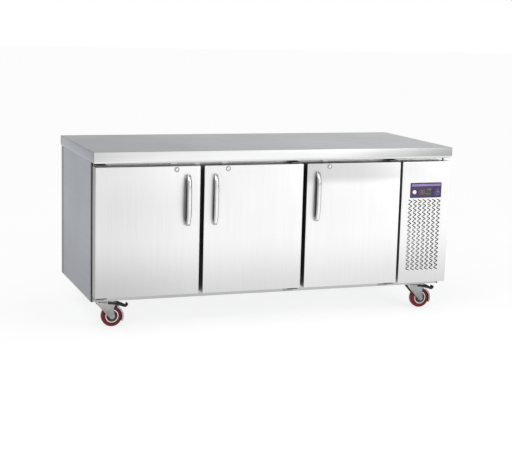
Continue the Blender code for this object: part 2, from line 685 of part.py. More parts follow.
def make_lock(index):
    """A key cylinder through the door, with a cam behind it that turns up behind the strike."""
    number = index + 1
    x, z = lock_place(index)
    cam_front = DOOR_THICKNESS + LOCK_CAM_CLEARANCE
    cam_back = cam_front + LOCK_CAM_THICKNESS
    profile = [
        (0.0, cam_back), (LOCK_TAIL_RADIUS, cam_back), (LOCK_TAIL_RADIUS, DOOR_THICKNESS - DOOR_RETURN),
        (LOCK_BARREL_RADIUS, DOOR_THICKNESS - DOOR_RETURN), (LOCK_BARREL_RADIUS, -GAP),
        (LOCK_HEAD_RADIUS, -GAP), (LOCK_HEAD_RADIUS, -LOCK_HEAD_PROUD * 0.7),
        (LOCK_HEAD_RADIUS * 0.9, -LOCK_HEAD_PROUD), (0.0, -LOCK_HEAD_PROUD),
    ]
    lock = lathe(f"lock_{number}", profile, (x, DOOR_FACE, z), "Y", CHROME, 16)
    half = LOCK_CAM_HEIGHT / 2
    fuse(lock, box(f"lock_cam_{number}", (x - half, DOOR_FACE + cam_front, z - half),
                   (x + LOCK_CAM_REACH, DOOR_FACE + cam_back - GAP, z + half)))
    wide, tall, deep = LOCK_KEYWAY
    cut(lock, box(f"keyway_{number}", (x - wide / 2, DOOR_FACE - 2 * LOCK_HEAD_PROUD, z - tall / 2),
                  (x + wide / 2, DOOR_FACE - LOCK_HEAD_PROUD + deep, z + tall / 2)))
    return lock


def make_hinge(index, hinge_x, hinge_y):
    """Two brackets on the front frame, each with a pin into the door."""
    side = DOOR_HINGE_SIDES[index]
    outboard, inboard = hinge_x + side * HINGE_LEAF_OUTBOARD, hinge_x - side * HINGE_LEAF_INBOARD
    left, right = min(outboard, inboard), max(outboard, inboard)
    back = BODY_FRONT - GAP
    flange_ends = {1: WORKTOP_UNDERSIDE - HINGE_FLANGE_MARGIN, -1: BODY_BOTTOM + HINGE_FLANGE_MARGIN}
    for name, up, door_end in (("top", 1, DOOR_TOP), ("bottom", -1, DOOR_BOTTOM)):
        near = door_end + up * HINGE_LEAF_CLEARANCE
        far = near + up * HINGE_LEAF
        tip = door_end - up * HINGE_PIN_LENGTH
        bracket = box(f"hinge_{name}_{index + 1}", (left, DOOR_FACE + HINGE_LEAF_FRONT, min(near, far)),
                      (right, back, max(near, far)), STEEL)
        flange_end = flange_ends[up]
        root = (near + far) / 2
        fuse(bracket, box(f"hinge_flange_{name}_{index + 1}",
                          (left + GAP, back - HINGE_LEAF, min(root, flange_end)),
                          (right - GAP, back - GAP, max(root, flange_end))))
        fuse(bracket, cylinder(f"hinge_pin_{name}_{index + 1}", (hinge_x, hinge_y, (root + tip) / 2), "Z",
                               HINGE_PIN_RADIUS, abs(root - tip), segments=12))


# ------------------------------------------------------------------ control panel
def make_control_panel():
    """A deep pan flush with the doors, open at the back, with the controller's hole and a grille."""
    low = Vector((PANEL_LEFT, DOOR_FACE, BODY_BOTTOM + PANEL_BOTTOM_RISE))
    high = Vector((BODY_RIGHT, BODY_FRONT - SHEET - 2 * GAP, DOOR_TOP))
    sheet = Vector((SHEET, SHEET, SHEET))
    panel = box("control_panel", low, high, STEEL, DOOR_BEVEL)
    cut(panel, box("panel_hollow", low + sheet, high + Vector((-SHEET, SHEET, -SHEET))))
    rim = BEZEL_RIM - GAP
    half = Vector((BEZEL_SIZE[0] / 2 - rim, BEZEL_DEPTH / 2, BEZEL_SIZE[1] / 2 - rim))
    centre = Vector((PANEL_CENTRE, DOOR_FACE, CONTROLLER_CENTRE))
    cut(panel, box("controller_hole", centre - half, centre + half))

    def slots(bm):
        length, width = GRILLE_SLOT
        top = DOOR_TOP - GRILLE_DROP - GRILLE_PITCH[1] / 2
        shape = Matrix.Diagonal((length, 6 * SHEET, width, 1.0))
        turn = Matrix.Rotation(-GRILLE_SLOT_ANGLE, 4, "Y")
        for column in range(GRILLE_COLUMNS):
            x = (column - (GRILLE_COLUMNS - 1) / 2) * GRILLE_PITCH[0]
            for row in range(GRILLE_ROWS):
                place = Matrix.Translation((PANEL_CENTRE + x, DOOR_FACE, top - row * GRILLE_PITCH[1]))
                bmesh.ops.create_cube(bm, size=1.0, matrix=place @ turn @ shape)

    cut(panel, add("grille_slots", mesh_of("grille_slots", slots), (0, 0, 0), None))


def make_controller():
    """The bezel with its display, power button and temperature knob."""
    centre = Vector((PANEL_CENTRE, BEZEL_FACE, CONTROLLER_CENTRE))
    half = Vector((BEZEL_SIZE[0] / 2, 0, BEZEL_SIZE[1] / 2))
    rim = Vector((BEZEL_RIM, 0, BEZEL_RIM))
    face = box("controller_bezel", centre - half, centre + half + Vector((0, BEZEL_PROUD - GAP, 0)),
               BEZEL_PURPLE, BEZEL_PROUD / 4)
    fuse(face, box("controller_body", centre - half + rim + Vector((0, BEZEL_PROUD / 2, 0)),
                   centre + half - rim + Vector((0, BEZEL_DEPTH, 0))))

    def spot(offset):
        return centre + Vector((offset[0], 0, offset[1]))

    display = spot(DISPLAY_OFFSET)
    reach = Vector((DISPLAY_SIZE[0] / 2, 0, DISPLAY_SIZE[1] / 2))
    clear = Vector((GAP, 0, GAP))
    deep = Vector((0, DISPLAY_THICKNESS, 0))
    cut(face, box("display_recess", display - reach - clear - deep, display + reach + clear + deep))
    box("display_window", display - reach + Vector((0, GAP, 0)),
        display + reach + deep - Vector((0, GAP, 0)), DISPLAY_GLASS)

    button = spot(BUTTON_OFFSET)
    cut(face, cylinder("button_well", button, "Y", BUTTON_RADIUS + CONTROL_CLEARANCE, 2 * BUTTON_WELL))
    back = BUTTON_LENGTH - BUTTON_PROUD
    lathe("power_button", [
        (0.0, back), (BUTTON_RADIUS, back), (BUTTON_RADIUS, -BUTTON_PROUD * 0.6),
        (BUTTON_RADIUS * 0.8, -BUTTON_PROUD), (0.0, -BUTTON_PROUD),
    ], button, "Y", LILAC, 16)

    knob = spot(KNOB_OFFSET)
    lathe("temperature_knob", [
        (0.0, -GAP), (KNOB_RADIUS, -GAP), (KNOB_RADIUS * 0.95, -KNOB_HEIGHT * 0.7),
        (KNOB_RADIUS * 0.8, -KNOB_HEIGHT), (0.0, -KNOB_HEIGHT),
    ], knob, "Y", KNOB_PURPLE, 20)


# ------------------------------------------------------------------ shelves
def make_shelves():
    """A grid shelf in each bay, resting on the clips."""
    columns = [CAVITY_LEFT, *shelf_clip_columns(), EVAPORATOR_LEFT]
    front = CAVITY_FRONT + SHELF_FRONT_CLEARANCE
    back = CAVITY_BACK - SHELF_CLEARANCE
    top = SHELF_UNDERSIDE + SHELF_BAR
    for index, (start, end) in enumerate(zip(columns, columns[1:])):
        left, right = start + SHELF_CLEARANCE, end - SHELF_CLEARANCE
        shelf = box(f"wire_shelf_{index + 1}", (left, front, SHELF_UNDERSIDE), (right, back, top),
                    COATED_WIRE)
        count = round((right - left) / SHELF_PITCH)
        pitch = (right - left - SHELF_BAR) / count

        def slots(bm, left=left, pitch=pitch, count=count):
            size = (pitch - SHELF_BAR, back - front - 2 * SHELF_BAR, 3 * SHELF_BAR)
            for step in range(count):
                x = left + SHELF_BAR / 2 + (step + 0.5) * pitch
                place = Matrix.Translation((x, (front + back) / 2, SHELF_UNDERSIDE))
                bmesh.ops.create_cube(bm, size=1.0, matrix=place @ Matrix.Diagonal((*size, 1.0)))

        name = f"shelf_slots_{index + 1}"
        cut(shelf, add(name, mesh_of(name, slots), (0, 0, 0), None))


# ------------------------------------------------------------------ refrigeration
def make_fan(name, centre, facing, radius, finish):
    """A hub with pitched blades, turning about its own origin."""
    fan = cylinder(name, centre, facing, FAN_HUB_RADIUS, FAN_DEPTH, finish, 12)
    root, tip = FAN_HUB_RADIUS * 0.8, radius
    narrow, broad = FAN_BLADE_ROOT / 2, FAN_BLADE_TIP / 2
    outline = [(root, -narrow), (tip, -broad), (tip, broad), (root, narrow)]
    for index in range(FAN_BLADES):
        blade = prism(f"{name}_blade_{index}", outline, FAN_BLADE_SHEET, "XY", centre)
        around = Matrix.Rotation(math.tau * index / FAN_BLADES, 3, "Z")
        pitch = Matrix.Rotation(FAN_BLADE_PITCH, 3, "X")
        blade.rotation_euler = (FACING[facing].to_matrix() @ around @ pitch).to_euler()
        fuse(fan, blade)
    return fan


def finned_block(name, low, high, facing, finish):
    """A heat exchanger: a block with grooves across the faces that the air passes."""
    block = box(name, low, high, finish)
    low, high = Vector(low), Vector(high)
    across = 0 if facing == "Y" else 1
    pitch = (high[across] - low[across]) / (FIN_GROOVES + 1)

    def grooves(bm):
        size = high - low
        size[across] = pitch / 2
        size.z *= 0.9
        size["XY".index(facing)] = 2 * FIN_GROOVE_DEPTH
        for step in range(FIN_GROOVES):
            centre = (low + high) / 2
            centre[across] = low[across] + (step + 1) * pitch
            centre["XY".index(facing)] = low["XY".index(facing)]
            bmesh.ops.create_cube(bm, size=1.0,
                                  matrix=Matrix.Translation(centre) @ Matrix.Diagonal((*size, 1.0)))

    cut(block, add(name + "_grooves", mesh_of(name + "_grooves", grooves), (0, 0, 0), None))
    return block


def make_condensing_unit():
    """Condenser behind the grille, its shroud and fan, and the compressor behind them."""
    half_width = CONDENSER_SIZE[0] / 2
    front = BODY_FRONT + FRAME_DEPTH + CONDENSER_SETBACK
    back = front + CONDENSER_SIZE[1]
    top = MACHINE_FLOOR + CONDENSER_SIZE[2]
    left, right = MACHINE_CENTRE - half_width, MACHINE_CENTRE + half_width
    finned_block("condenser", (left, front, MACHINE_FLOOR), (right, back, top), "Y", ALUMINIUM)

    shroud_front = back + GAP
    shroud_back = shroud_front + SHROUD_DEPTH
    middle = (MACHINE_FLOOR + top) / 2
    shroud = box("fan_shroud", (left, shroud_front, MACHINE_FLOOR), (right, shroud_back, top), BLACK_PAINT)
    hole = CONDENSER_FAN_RADIUS + FAN_TIP_CLEARANCE
    cut(shroud, cylinder("shroud_hole", (MACHINE_CENTRE, shroud_front, middle), "Y", hole,
                         4 * SHROUD_DEPTH, segments=24))
    motor_front = shroud_back + FAN_TIP_CLEARANCE
    motor = cylinder("motor_can", (MACHINE_CENTRE, motor_front + MOTOR_LENGTH / 2, middle), "Y",
                     MOTOR_RADIUS, MOTOR_LENGTH)
    bar = box("motor_bar", (left + GAP, shroud_back - MOTOR_BAR / 2, middle - MOTOR_BAR / 2),
              (right - GAP, motor_front + MOTOR_BAR, middle + MOTOR_BAR / 2))
    cut(bar, cylinder("bar_relief", (MACHINE_CENTRE, shroud_front, middle), "Y", hole,
                      2 * (motor_front + GAP - shroud_front), segments=24))
    fuse(shroud, bar, motor)
    make_fan("condenser_fan", (MACHINE_CENTRE, (shroud_front + shroud_back) / 2, middle), "Y",
             CONDENSER_FAN_RADIUS, ALUMINIUM)

    axis_y = BODY_FRONT + FRAME_DEPTH + COMPRESSOR_SETBACK
    foot = COMPRESSOR_FOOT
    radius, height = COMPRESSOR_RADIUS, COMPRESSOR_HEIGHT
    dome = []
    for angle in range(0, 91, 18):
        turn = math.radians(angle)
        dome.append((radius * math.sin(turn), height - COMPRESSOR_DOME * (1 - math.cos(turn))))
    belly = [(radius, COMPRESSOR_TAPER), (radius * 0.8, foot[2] / 2), (0.0, foot[2] / 2)]
    compressor = lathe("compressor", dome + belly, (MACHINE_CENTRE, axis_y, MACHINE_FLOOR), "Z",
                       BLACK_PAINT, 20)
    half_foot = Vector((foot[0] / 2, foot[1] / 2, 0))
    middle_foot = Vector((MACHINE_CENTRE, axis_y, MACHINE_FLOOR))
    fuse(compressor, box("compressor_foot", middle_foot - half_foot,
                         middle_foot + half_foot + Vector((0, 0, foot[2]))))


def make_evaporator():
    """A coil on the cavity's right wall, behind a cover with a fan."""
    wide, long, tall = EVAPORATOR_COVER
    right = CAVITY_RIGHT - GAP
    front = CAVITY_FRONT + EVAPORATOR_FRONT_CLEARANCE
    top = CAVITY_CEILING - EVAPORATOR_TOP_CLEARANCE
    middle_y, middle_z = front + long / 2, top - tall / 2
    low = Vector((EVAPORATOR_LEFT, front, top - tall))
    high = Vector((right, front + long, top))
    sheet = Vector((SHEET, SHEET, SHEET))
    cover = box("evaporator_cover", low, high, LINER_STEEL)
    cut(cover, box("cover_hollow", low + sheet, high + Vector((SHEET, -SHEET, -SHEET))))
    hole = EVAPORATOR_FAN_RADIUS + FAN_TIP_CLEARANCE
    cut(cover, cylinder("cover_hole", (EVAPORATOR_LEFT, middle_y, middle_z), "X", hole, 8 * SHEET,
                        segments=24))
    half_intake = EVAPORATOR_INTAKE[0] / 2
    for index in (-1, 1):
        y = middle_y + index * (hole + (long / 2 - hole) / 2)
        cut(cover, box(f"cover_intake_{index}",
                       (EVAPORATOR_LEFT - SHEET, y - half_intake, low.z + EVAPORATOR_INTAKE[1]),
                       (EVAPORATOR_LEFT + 2 * SHEET, y + half_intake, high.z - EVAPORATOR_INTAKE[1])))
    half_guard = EVAPORATOR_GUARD / 2
    guard_low = (EVAPORATOR_LEFT + GAP / 2, middle_y - hole - SHEET, middle_z - half_guard)
    guard_high = (EVAPORATOR_LEFT + SHEET - GAP / 2, middle_y + hole + SHEET, middle_z + half_guard)
    fuse(cover, box("fan_guard", guard_low, guard_high))
    ledge_top = SHELF_UNDERSIDE - GAP
    ledge_low = (EVAPORATOR_LEFT - SHELF_CLIP[1], low.y + SHEET, ledge_top - SHELF_CLIP[2])
    fuse(cover, box("shelf_ledge", ledge_low, (EVAPORATOR_LEFT + SHEET / 2, high.y - SHEET, ledge_top)))
    make_fan("evaporator_fan", (EVAPORATOR_LEFT + SHEET + GAP + FAN_DEPTH, middle_y, middle_z), "X",
             EVAPORATOR_FAN_RADIUS, BLACK_PLASTIC)
    deep, length, height = EVAPORATOR_COIL
    finned_block("evaporator_coil", (right - deep, middle_y - length / 2, middle_z - height / 2),
                 (right, middle_y + length / 2, middle_z + height / 2), "X", ALUMINIUM)


# ------------------------------------------------------------------ casters
def make_wheel(name, centre):
    """A tyre, rim and hub in one, with a flat of its tread on the floor."""
    apothem = math.cos(math.pi / WHEEL_SEGMENTS)
    tread = WHEEL_DIAMETER / 2 / apothem
    half, hub = WHEEL_WIDTH / 2, HUB_WIDTH / 2
    bore = (AXLE_RADIUS + AXLE_CLEARANCE) / apothem
    web = half * 0.7
    upper = [(bore, hub), (HUB_RADIUS, hub), (HUB_RADIUS + SHEET, web), (RIM_RADIUS - SHEET, web),
             (RIM_RADIUS, half), (tread - TREAD_SHOULDER, half), (tread, web)]
    lower = [(radius, -height) for radius, height in reversed(upper)]
    return lathe(name, upper + lower, centre, "Y", WHEEL_RED, WHEEL_SEGMENTS, True,
                 math.pi / WHEEL_SEGMENTS)


def make_fork(name, x, y):
    """Two legs under a bridge, drawn side on, with the axle through them."""
    legs = [
        (FORK_SPAN[0], 0.0), (FORK_SPAN[0] + FORK_DRAFT, -FORK_SHOULDER),
        *arc((CASTER_TRAIL, AXLE_HEIGHT - FORK_TOP), FORK_LOBE, 215, 370, 8),
        (FORK_SPAN[1] + FORK_DRAFT, -FORK_SHOULDER), (FORK_SPAN[1], 0.0),
    ]
    fork = prism(name, legs, 2 * (FORK_SLOT + FORK_SHEET), "XZ", (x, y, FORK_TOP), ZINC)
    past = x + WHEEL_DIAMETER
    cut(fork, box(name + "_slot", (x - WHEEL_DIAMETER, y - FORK_SLOT, 0.0),
                  (past, y + FORK_SLOT, FORK_TOP - FORK_SHEET)))
    cut(fork, box(name + "_pedal_slot", (x + FORK_BRIDGE_END, y - FORK_SLOT, 0.0),
                  (past, y + FORK_SLOT, BODY_BOTTOM)))
    axle = cylinder(name + "_axle", (x + CASTER_TRAIL, y, AXLE_HEIGHT), "Y", AXLE_RADIUS,
                    2 * (FORK_SLOT + 2 * FORK_SHEET), segments=12)
    fuse(fork, axle)
    return fork


def make_pedal(name, y, pivot):
    """A brake lever: a barrel on its pin, a pad over the tread and a tip turned up."""
    pedal = prism(name, strip(PEDAL_LINE, PEDAL_SHEET), PEDAL_WIDTH, "XZ", pivot, BLACK_PAINT)
    fuse(pedal, cylinder(name + "_barrel", pivot, "Y", PEDAL_BARREL_RADIUS, PEDAL_WIDTH - GAP, segments=12))
    (pad_start, pad_foot), (pad_end, pad_head) = PEDAL_PAD
    fuse(pedal, box(name + "_pad", (pivot.x + pad_start, y - PEDAL_WIDTH / 3, pivot.z + pad_foot),
                    (pivot.x + pad_end, y + PEDAL_WIDTH / 3, pivot.z + pad_head)))
    cut(pedal, cylinder(name + "_bore", pivot, "Y", PEDAL_PIN_RADIUS + AXLE_CLEARANCE,
                        2 * PEDAL_WIDTH, segments=12))
    return pedal


def make_caster(place):
    end, side = place.split("_")
    inset = CASTER_SIDE_INSETS[place]
    x = BODY_LEFT + inset if side == "left" else BODY_RIGHT - inset
    y = BODY_FRONT + CASTER_FRONT_INSET if end == "front" else BODY_BACK - CASTER_REAR_INSET
    wide, deep, thick = CASTER_PLATE
    plate_top = BODY_BOTTOM - GAP
    plate = box(f"caster_plate_{place}", (x - wide / 2, y - deep / 2, plate_top - thick),
                (x + wide / 2, y + deep / 2, plate_top), ZINC)
    race_bottom = FORK_TOP + GAP
    race_top = plate_top - thick / 2
    fuse(plate, cylinder(f"caster_race_{place}", (x, y, (race_bottom + race_top) / 2), "Z", RACE_RADIUS,
                         race_top - race_bottom, segments=20))
    axis = axis_empty(f"caster_{place}_axis", (x, y, BODY_BOTTOM))
    fork = make_fork(f"caster_fork_{place}", x, y)
    wheel = make_wheel(f"wheel_{place}", (x + CASTER_TRAIL, y, AXLE_HEIGHT))
    attach(axis, fork, wheel)
    if end == "front":
        pivot = Vector((x + PEDAL_PIVOT[0], y, BODY_BOTTOM + PEDAL_PIVOT[1]))
        pedal = make_pedal(f"brake_pedal_{place}", y, pivot)
        fuse(fork, cylinder(f"pedal_pin_{place}", pivot, "Y", PEDAL_PIN_RADIUS,
                            2 * (FORK_SLOT + FORK_SHEET / 2), segments=12))
        attach(axis, pedal)


# ------------------------------------------------------------------ assembly
make_worktop()
make_side_panel("left_side_panel", -1)
make_side_panel("right_side_panel", 1)
make_back_panel()
make_base_panel()
make_insulation()
make_liner()
make_front_frame()
for door in range(DOOR_COUNT):
    make_door(door)
make_control_panel()
make_controller()
make_shelves()
make_condensing_unit()
make_evaporator()
for caster in CASTER_SIDE_INSETS:
    make_caster(caster)
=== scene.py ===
"""Looks for the three-door undercounter refrigerator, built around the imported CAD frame."""

import json
import math

import bmesh
import bpy
from mathutils import Matrix, Vector


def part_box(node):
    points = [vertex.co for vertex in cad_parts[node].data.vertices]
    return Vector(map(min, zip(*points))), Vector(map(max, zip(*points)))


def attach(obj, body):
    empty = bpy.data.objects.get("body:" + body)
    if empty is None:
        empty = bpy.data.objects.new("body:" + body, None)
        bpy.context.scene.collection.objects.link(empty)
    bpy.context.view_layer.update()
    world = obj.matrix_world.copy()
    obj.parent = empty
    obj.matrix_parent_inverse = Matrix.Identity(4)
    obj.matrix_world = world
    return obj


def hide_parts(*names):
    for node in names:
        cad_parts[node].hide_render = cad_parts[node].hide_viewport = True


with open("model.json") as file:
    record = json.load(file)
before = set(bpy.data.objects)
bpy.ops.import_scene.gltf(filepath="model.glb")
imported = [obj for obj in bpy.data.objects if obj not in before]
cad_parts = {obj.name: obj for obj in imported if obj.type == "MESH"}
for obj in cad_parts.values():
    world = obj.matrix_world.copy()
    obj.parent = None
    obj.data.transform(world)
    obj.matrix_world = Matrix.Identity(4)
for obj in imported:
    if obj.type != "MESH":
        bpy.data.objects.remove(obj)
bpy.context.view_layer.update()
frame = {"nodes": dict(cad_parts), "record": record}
nodes = frame["nodes"]
record = frame["record"]
BODY_OF = {node: body for body, members in record["behaviour"]["bodies"].items() for node in members}
DOORS = (1, 2, 3)
CASTERS = ("front_left", "front_right", "rear_left", "rear_right")
BRAKED = CASTERS[:2]

# ---------------- materials


EDGE_WEAR_AND_HIGHLIGHT_SPAN = (0.56, 0.64)


def map_range(tree, source, start, end, low, high, blend="LINEAR"):
    """Turns a value that runs from start to end into one that runs from low to high."""
    node = tree.nodes.new("ShaderNodeMapRange")
    node.interpolation_type = blend
    for socket, value in (("From Min", start), ("From Max", end), ("To Min", low), ("To Max", high)):
        node.inputs[socket].default_value = value
    tree.links.new(source, node.inputs["Value"])
    return node.outputs["Result"]


def finish(name, colours, roughness, metallic=0.0, grain=(60, 60, 60), bump=0.05, depth=0.0003,
           cloud=2.5, cloud_strength=0.06, edge_wear_and_highlight=None, coat=0.0, extra=None, fades=()):
    """A surface whose colour, gloss and relief vary with two sizes of noise, with a lighter tone along its
    edges: wear on most finishes, a painted highlight on the knob.

    Each fade is painted light or shade: an axis, the places where it starts and ends, and the tone at each."""
    material = bpy.data.materials.new(name)
    material.use_nodes = True
    tree = material.node_tree
    shader = tree.nodes["Principled BSDF"]
    link = tree.links.new
    place = tree.nodes.new("ShaderNodeTexCoord")
    stretch = tree.nodes.new("ShaderNodeMapping")
    stretch.inputs["Scale"].default_value = grain
    link(place.outputs["Object"], stretch.inputs["Vector"])

    def noise(source, scale, detail):
        node = tree.nodes.new("ShaderNodeTexNoise")
        node.inputs["Scale"].default_value = scale
        node.inputs["Detail"].default_value = detail
        link(source, node.inputs["Vector"])
        return node.outputs["Fac"]

    def spread(pattern, low, high):
        return map_range(tree, pattern, 0.3, 0.7, low, high)

    fine = noise(stretch.outputs["Vector"], 1.0, 3.0)
    broad = noise(place.outputs["Object"], cloud, 2.0)

    tone = tree.nodes.new("ShaderNodeMix")
    tone.data_type = "RGBA"
    tone.inputs["A"].default_value = (*colours[0], 1.0)
    tone.inputs["B"].default_value = (*colours[1], 1.0)
    link(spread(fine, 0.0, 1.0), tone.inputs["Factor"])
    shade = tree.nodes.new("ShaderNodeHueSaturation")
    link(tone.outputs["Result"], shade.inputs["Color"])
    link(spread(broad, 1.0 - cloud_strength, 1.0 + cloud_strength), shade.inputs["Value"])
    colour = shade.outputs["Color"]
    if fades:
        split = tree.nodes.new("ShaderNodeSeparateXYZ")
        link(place.outputs["Object"], split.inputs["Vector"])
    # Painted light and shade: each fade brightens or darkens the colour along one axis.
    for axis, start, end, low, high in fades:
        dim = tree.nodes.new("ShaderNodeHueSaturation")
        link(colour, dim.inputs["Color"])
        link(map_range(tree, split.outputs[axis], start, end, low, high, "SMOOTHSTEP"),
             dim.inputs["Value"])
        colour = dim.outputs["Color"]
    # Lighter tone along convex edges: wear on most finishes, a painted highlight on the knob.
    if edge_wear_and_highlight:
        edge = tree.nodes.new("ShaderNodeNewGeometry")
        edge_mask = map_range(tree, edge.outputs["Pointiness"], *EDGE_WEAR_AND_HIGHLIGHT_SPAN, 0.0, 1.0)
        edge_tone = tree.nodes.new("ShaderNodeMix")
        edge_tone.data_type = "RGBA"
        edge_tone.inputs["B"].default_value = (*edge_wear_and_highlight, 1.0)
        link(colour, edge_tone.inputs["A"])
        link(edge_mask, edge_tone.inputs["Factor"])
        colour = edge_tone.outputs["Result"]
    link(colour, shader.inputs["Base Color"])
    link(spread(fine, roughness[0], roughness[1]), shader.inputs["Roughness"])
    relief = tree.nodes.new("ShaderNodeBump")
    relief.inputs["Strength"].default_value = bump
    relief.inputs["Distance"].default_value = depth
    link(fine, relief.inputs["Height"])
    link(relief.outputs["Normal"], shader.inputs["Normal"])
    shader.inputs["Metallic"].default_value = metallic
    shader.inputs["Coat Weight"].default_value = coat
    for socket, value in (extra or {}).items():
        shader.inputs[socket].default_value = value
    return material


def grey(level, tint=0.0):
    """A grey, a little blue when tint is above zero."""
    return (level * (1 - tint), level * (1 - tint / 3), level * (1 + tint))


def glow(colour, strength):
    """The shader's values for a surface that gives off a little light."""
    return {"Emission Color": (*colour, 1.0), "Emission Strength": strength}


ALONG_X = (3.0, 420.0, 420.0)
ALONG_Z = (420.0, 420.0, 3.0)
ALONG_Y = (420.0, 3.0, 420.0)

# Worktop top: a darker copy of the worktop steel as painted shade, with painted light growing towards the
# right.
WORKTOP_STEEL = finish("worktop_steel", (grey(0.58, 0.03), grey(0.67, 0.03)), (0.26, 0.38), 1.0, ALONG_X,
                       fades=(("X", -0.9, 0.8, 1.0, 1.24),))
# Painted shade: door steel darker towards the bottom, standing in for the shadowed floor it reflects.
FLOOR_SHADE_FADE = ("Z", 0.14, 0.44, 0.73, 1.0)


# Door steel, darker towards its foot by painted shade, with any further painted fades.
def door_steel(name, *fades):
    return finish(name, (grey(0.90), grey(0.96)), (0.28, 0.40), 1.0, ALONG_Z, cloud=1.6,
                  cloud_strength=0.03, fades=(FLOOR_SHADE_FADE, *fades))


DOOR_STEELS = {
    # Door 1: painted shade towards its left edge and a painted highlight towards its top.
    1: door_steel("door_steel_left", ("X", -0.92, -0.25, 0.82, 1.0), ("Z", 0.55, 0.74, 1.0, 1.07)),
    2: door_steel("door_steel_middle"),
    # Door 3: a painted shade band near its top and painted light at its foot, softening the painted floor
    # shade.
    3: door_steel("door_steel_right", ("Z", 0.650, 0.700, 1.0, 0.75), ("Z", 0.14, 0.44, 1.09, 1.0)),
}
# Control panel steel, with the same painted shade at its foot.
PANEL_STEEL = door_steel("panel_steel")
# Painted shade: a darker copy of the door steel for the doors' side faces in the gaps.
DOOR_SIDE_SHADE = finish("door_side_shade_steel", (grey(0.30), grey(0.38)), (0.30, 0.42), 1.0, ALONG_Z)
# Worktop front with painted shade, darker towards both ends.
APRON_STEEL = finish("apron_steel", (grey(0.88), grey(0.94)), (0.28, 0.40), 1.0, ALONG_X,
                     fades=(("X", -0.95, -0.45, 0.78, 1.0), ("X", 0.10, 0.90, 1.0, 0.50)))
# Painted shade: a darker copy of the worktop steel for its turned-in lower lip.
LIP_STEEL = finish("lip_steel", (grey(0.74), grey(0.84)), (0.28, 0.40), 1.0, ALONG_X)
# Side panel steel with painted shade: darker at the rear edge, along the front edge by the doors and
# towards the bottom.
SIDE_STEEL = finish("side_steel", (grey(0.290, 0.085), grey(0.345, 0.085)), (0.30, 0.42), 1.0, ALONG_Y,
                    fades=(("Y", 0.336, 0.352, 1.0, 0.52), ("Y", -0.284, -0.255, 0.25, 1.0),
                           ("Z", 0.13, 0.50, 0.75, 1.0)))
# Painted shade: a darker, bluer copy of the worktop steel for its end faces.
WORKTOP_END_SHADE = finish("worktop_end_shade", (grey(0.34, 0.07), grey(0.40, 0.07)), (0.30, 0.42), 1.0, ALONG_Y)
# Front frame steel with painted shade where it shows between the doors, and painted light on the band above
# and the strip below them.
FRAME_STEEL = finish("frame_steel", (grey(0.62), grey(0.72)), (0.30, 0.42), 1.0, ALONG_X,
                     fades=(("Z", 0.732, 0.744, 0.22, 1.0), ("Z", 0.750, 0.762, 1.0, 2.4),
                            ("Z", 0.152, 0.162, 3.4, 1.0)))
LINER_STEEL = finish("liner_steel", (grey(0.68), grey(0.78)), (0.30, 0.45), 1.0, ALONG_Z)
BACK_STEEL = finish("back_steel", (grey(0.52, 0.02), grey(0.66, 0.02)), (0.35, 0.55), 1.0, (40, 40, 40),
                    cloud=5.0, cloud_strength=0.12)
ZINC = finish("zinc_plate", (grey(0.21), grey(0.34)), (0.22, 0.42), 1.0, (90, 90, 90), 0.1, edge_wear_and_highlight=grey(0.75))
RIM_STEEL = finish("rim_steel", (grey(0.70), grey(0.82)), (0.20, 0.32), 1.0, (120, 120, 120), 0.05)
CHROME = finish("chrome", (grey(0.86), grey(0.92)), (0.06, 0.14), 1.0, (120, 120, 30), 0.02)
# Painted shade: a darker copy of the chrome for the bow's flanks and ends.
HANDLE_SHADE_CHROME = finish("handle_shade_chrome", (grey(0.42), grey(0.52)), (0.16, 0.26), 1.0, (120, 120, 30), 0.02)
BLACK_METAL = finish("black_enamel", (grey(0.012), grey(0.022)), (0.28, 0.42), 0.0, (300, 300, 300), 0.15,
                     edge_wear_and_highlight=grey(0.10), coat=0.2)
PEDAL_BLACK = finish("pedal_black", (grey(0.006), grey(0.012)), (0.36, 0.50), 0.0, (300, 300, 300), 0.15,
                     edge_wear_and_highlight=grey(0.05), extra={"Specular IOR Level": 0.22})
# Painted shade: a darker copy of the zinc for the caster top plates and bolts, which sit in shadow under
# the cabinet.
CASTER_PLATE_SHADE = finish("caster_plate_shaded_zinc", (grey(0.13), grey(0.20)), (0.25, 0.42), 1.0, (90, 90, 90), 0.1,
                      edge_wear_and_highlight=grey(0.5))
GUARD_STEEL = finish("guard_steel", (grey(0.30), grey(0.44)), (0.22, 0.34), 1.0, (120, 120, 120), 0.05)
BLACK_PLASTIC = finish("black_plastic", (grey(0.015), grey(0.030)), (0.40, 0.58), 0.0, (500, 500, 500), 0.2)
RUBBER = finish("gasket_rubber", (grey(0.010), grey(0.020)), (0.55, 0.75), 0.0, (240, 240, 240), 0.2)
TREAD = finish("wheel_tread", ((0.085, 0.002, 0.003), (0.170, 0.006, 0.008)), (0.22, 0.38), 0.0,
               (150, 150, 150), 0.15, cloud=14.0, cloud_strength=0.25, edge_wear_and_highlight=(0.26, 0.03, 0.03),
               extra={"Specular IOR Level": 0.3})
HUB_DARK = finish("wheel_hub", ((0.055, 0.030, 0.030), (0.090, 0.045, 0.045)), (0.35, 0.5), 0.0,
                  (200, 200, 200), 0.15, edge_wear_and_highlight=grey(0.25))
FOAM = finish("foam", ((0.72, 0.60, 0.34), (0.86, 0.76, 0.50)), (0.8, 0.95), 0.0, (260, 260, 260), 0.6,
              0.0012)
ALUMINIUM = finish("aluminium", (grey(0.62), grey(0.78)), (0.30, 0.48), 1.0, ALONG_Z)
COPPER = finish("copper", ((0.72, 0.36, 0.22), (0.86, 0.48, 0.32)), (0.22, 0.40), 1.0, (90, 90, 90), 0.1)
COATED_WIRE = finish("coated_wire", (grey(0.66), grey(0.76)), (0.22, 0.34), 0.0, (200, 200, 200), 0.1,
                     coat=0.4)
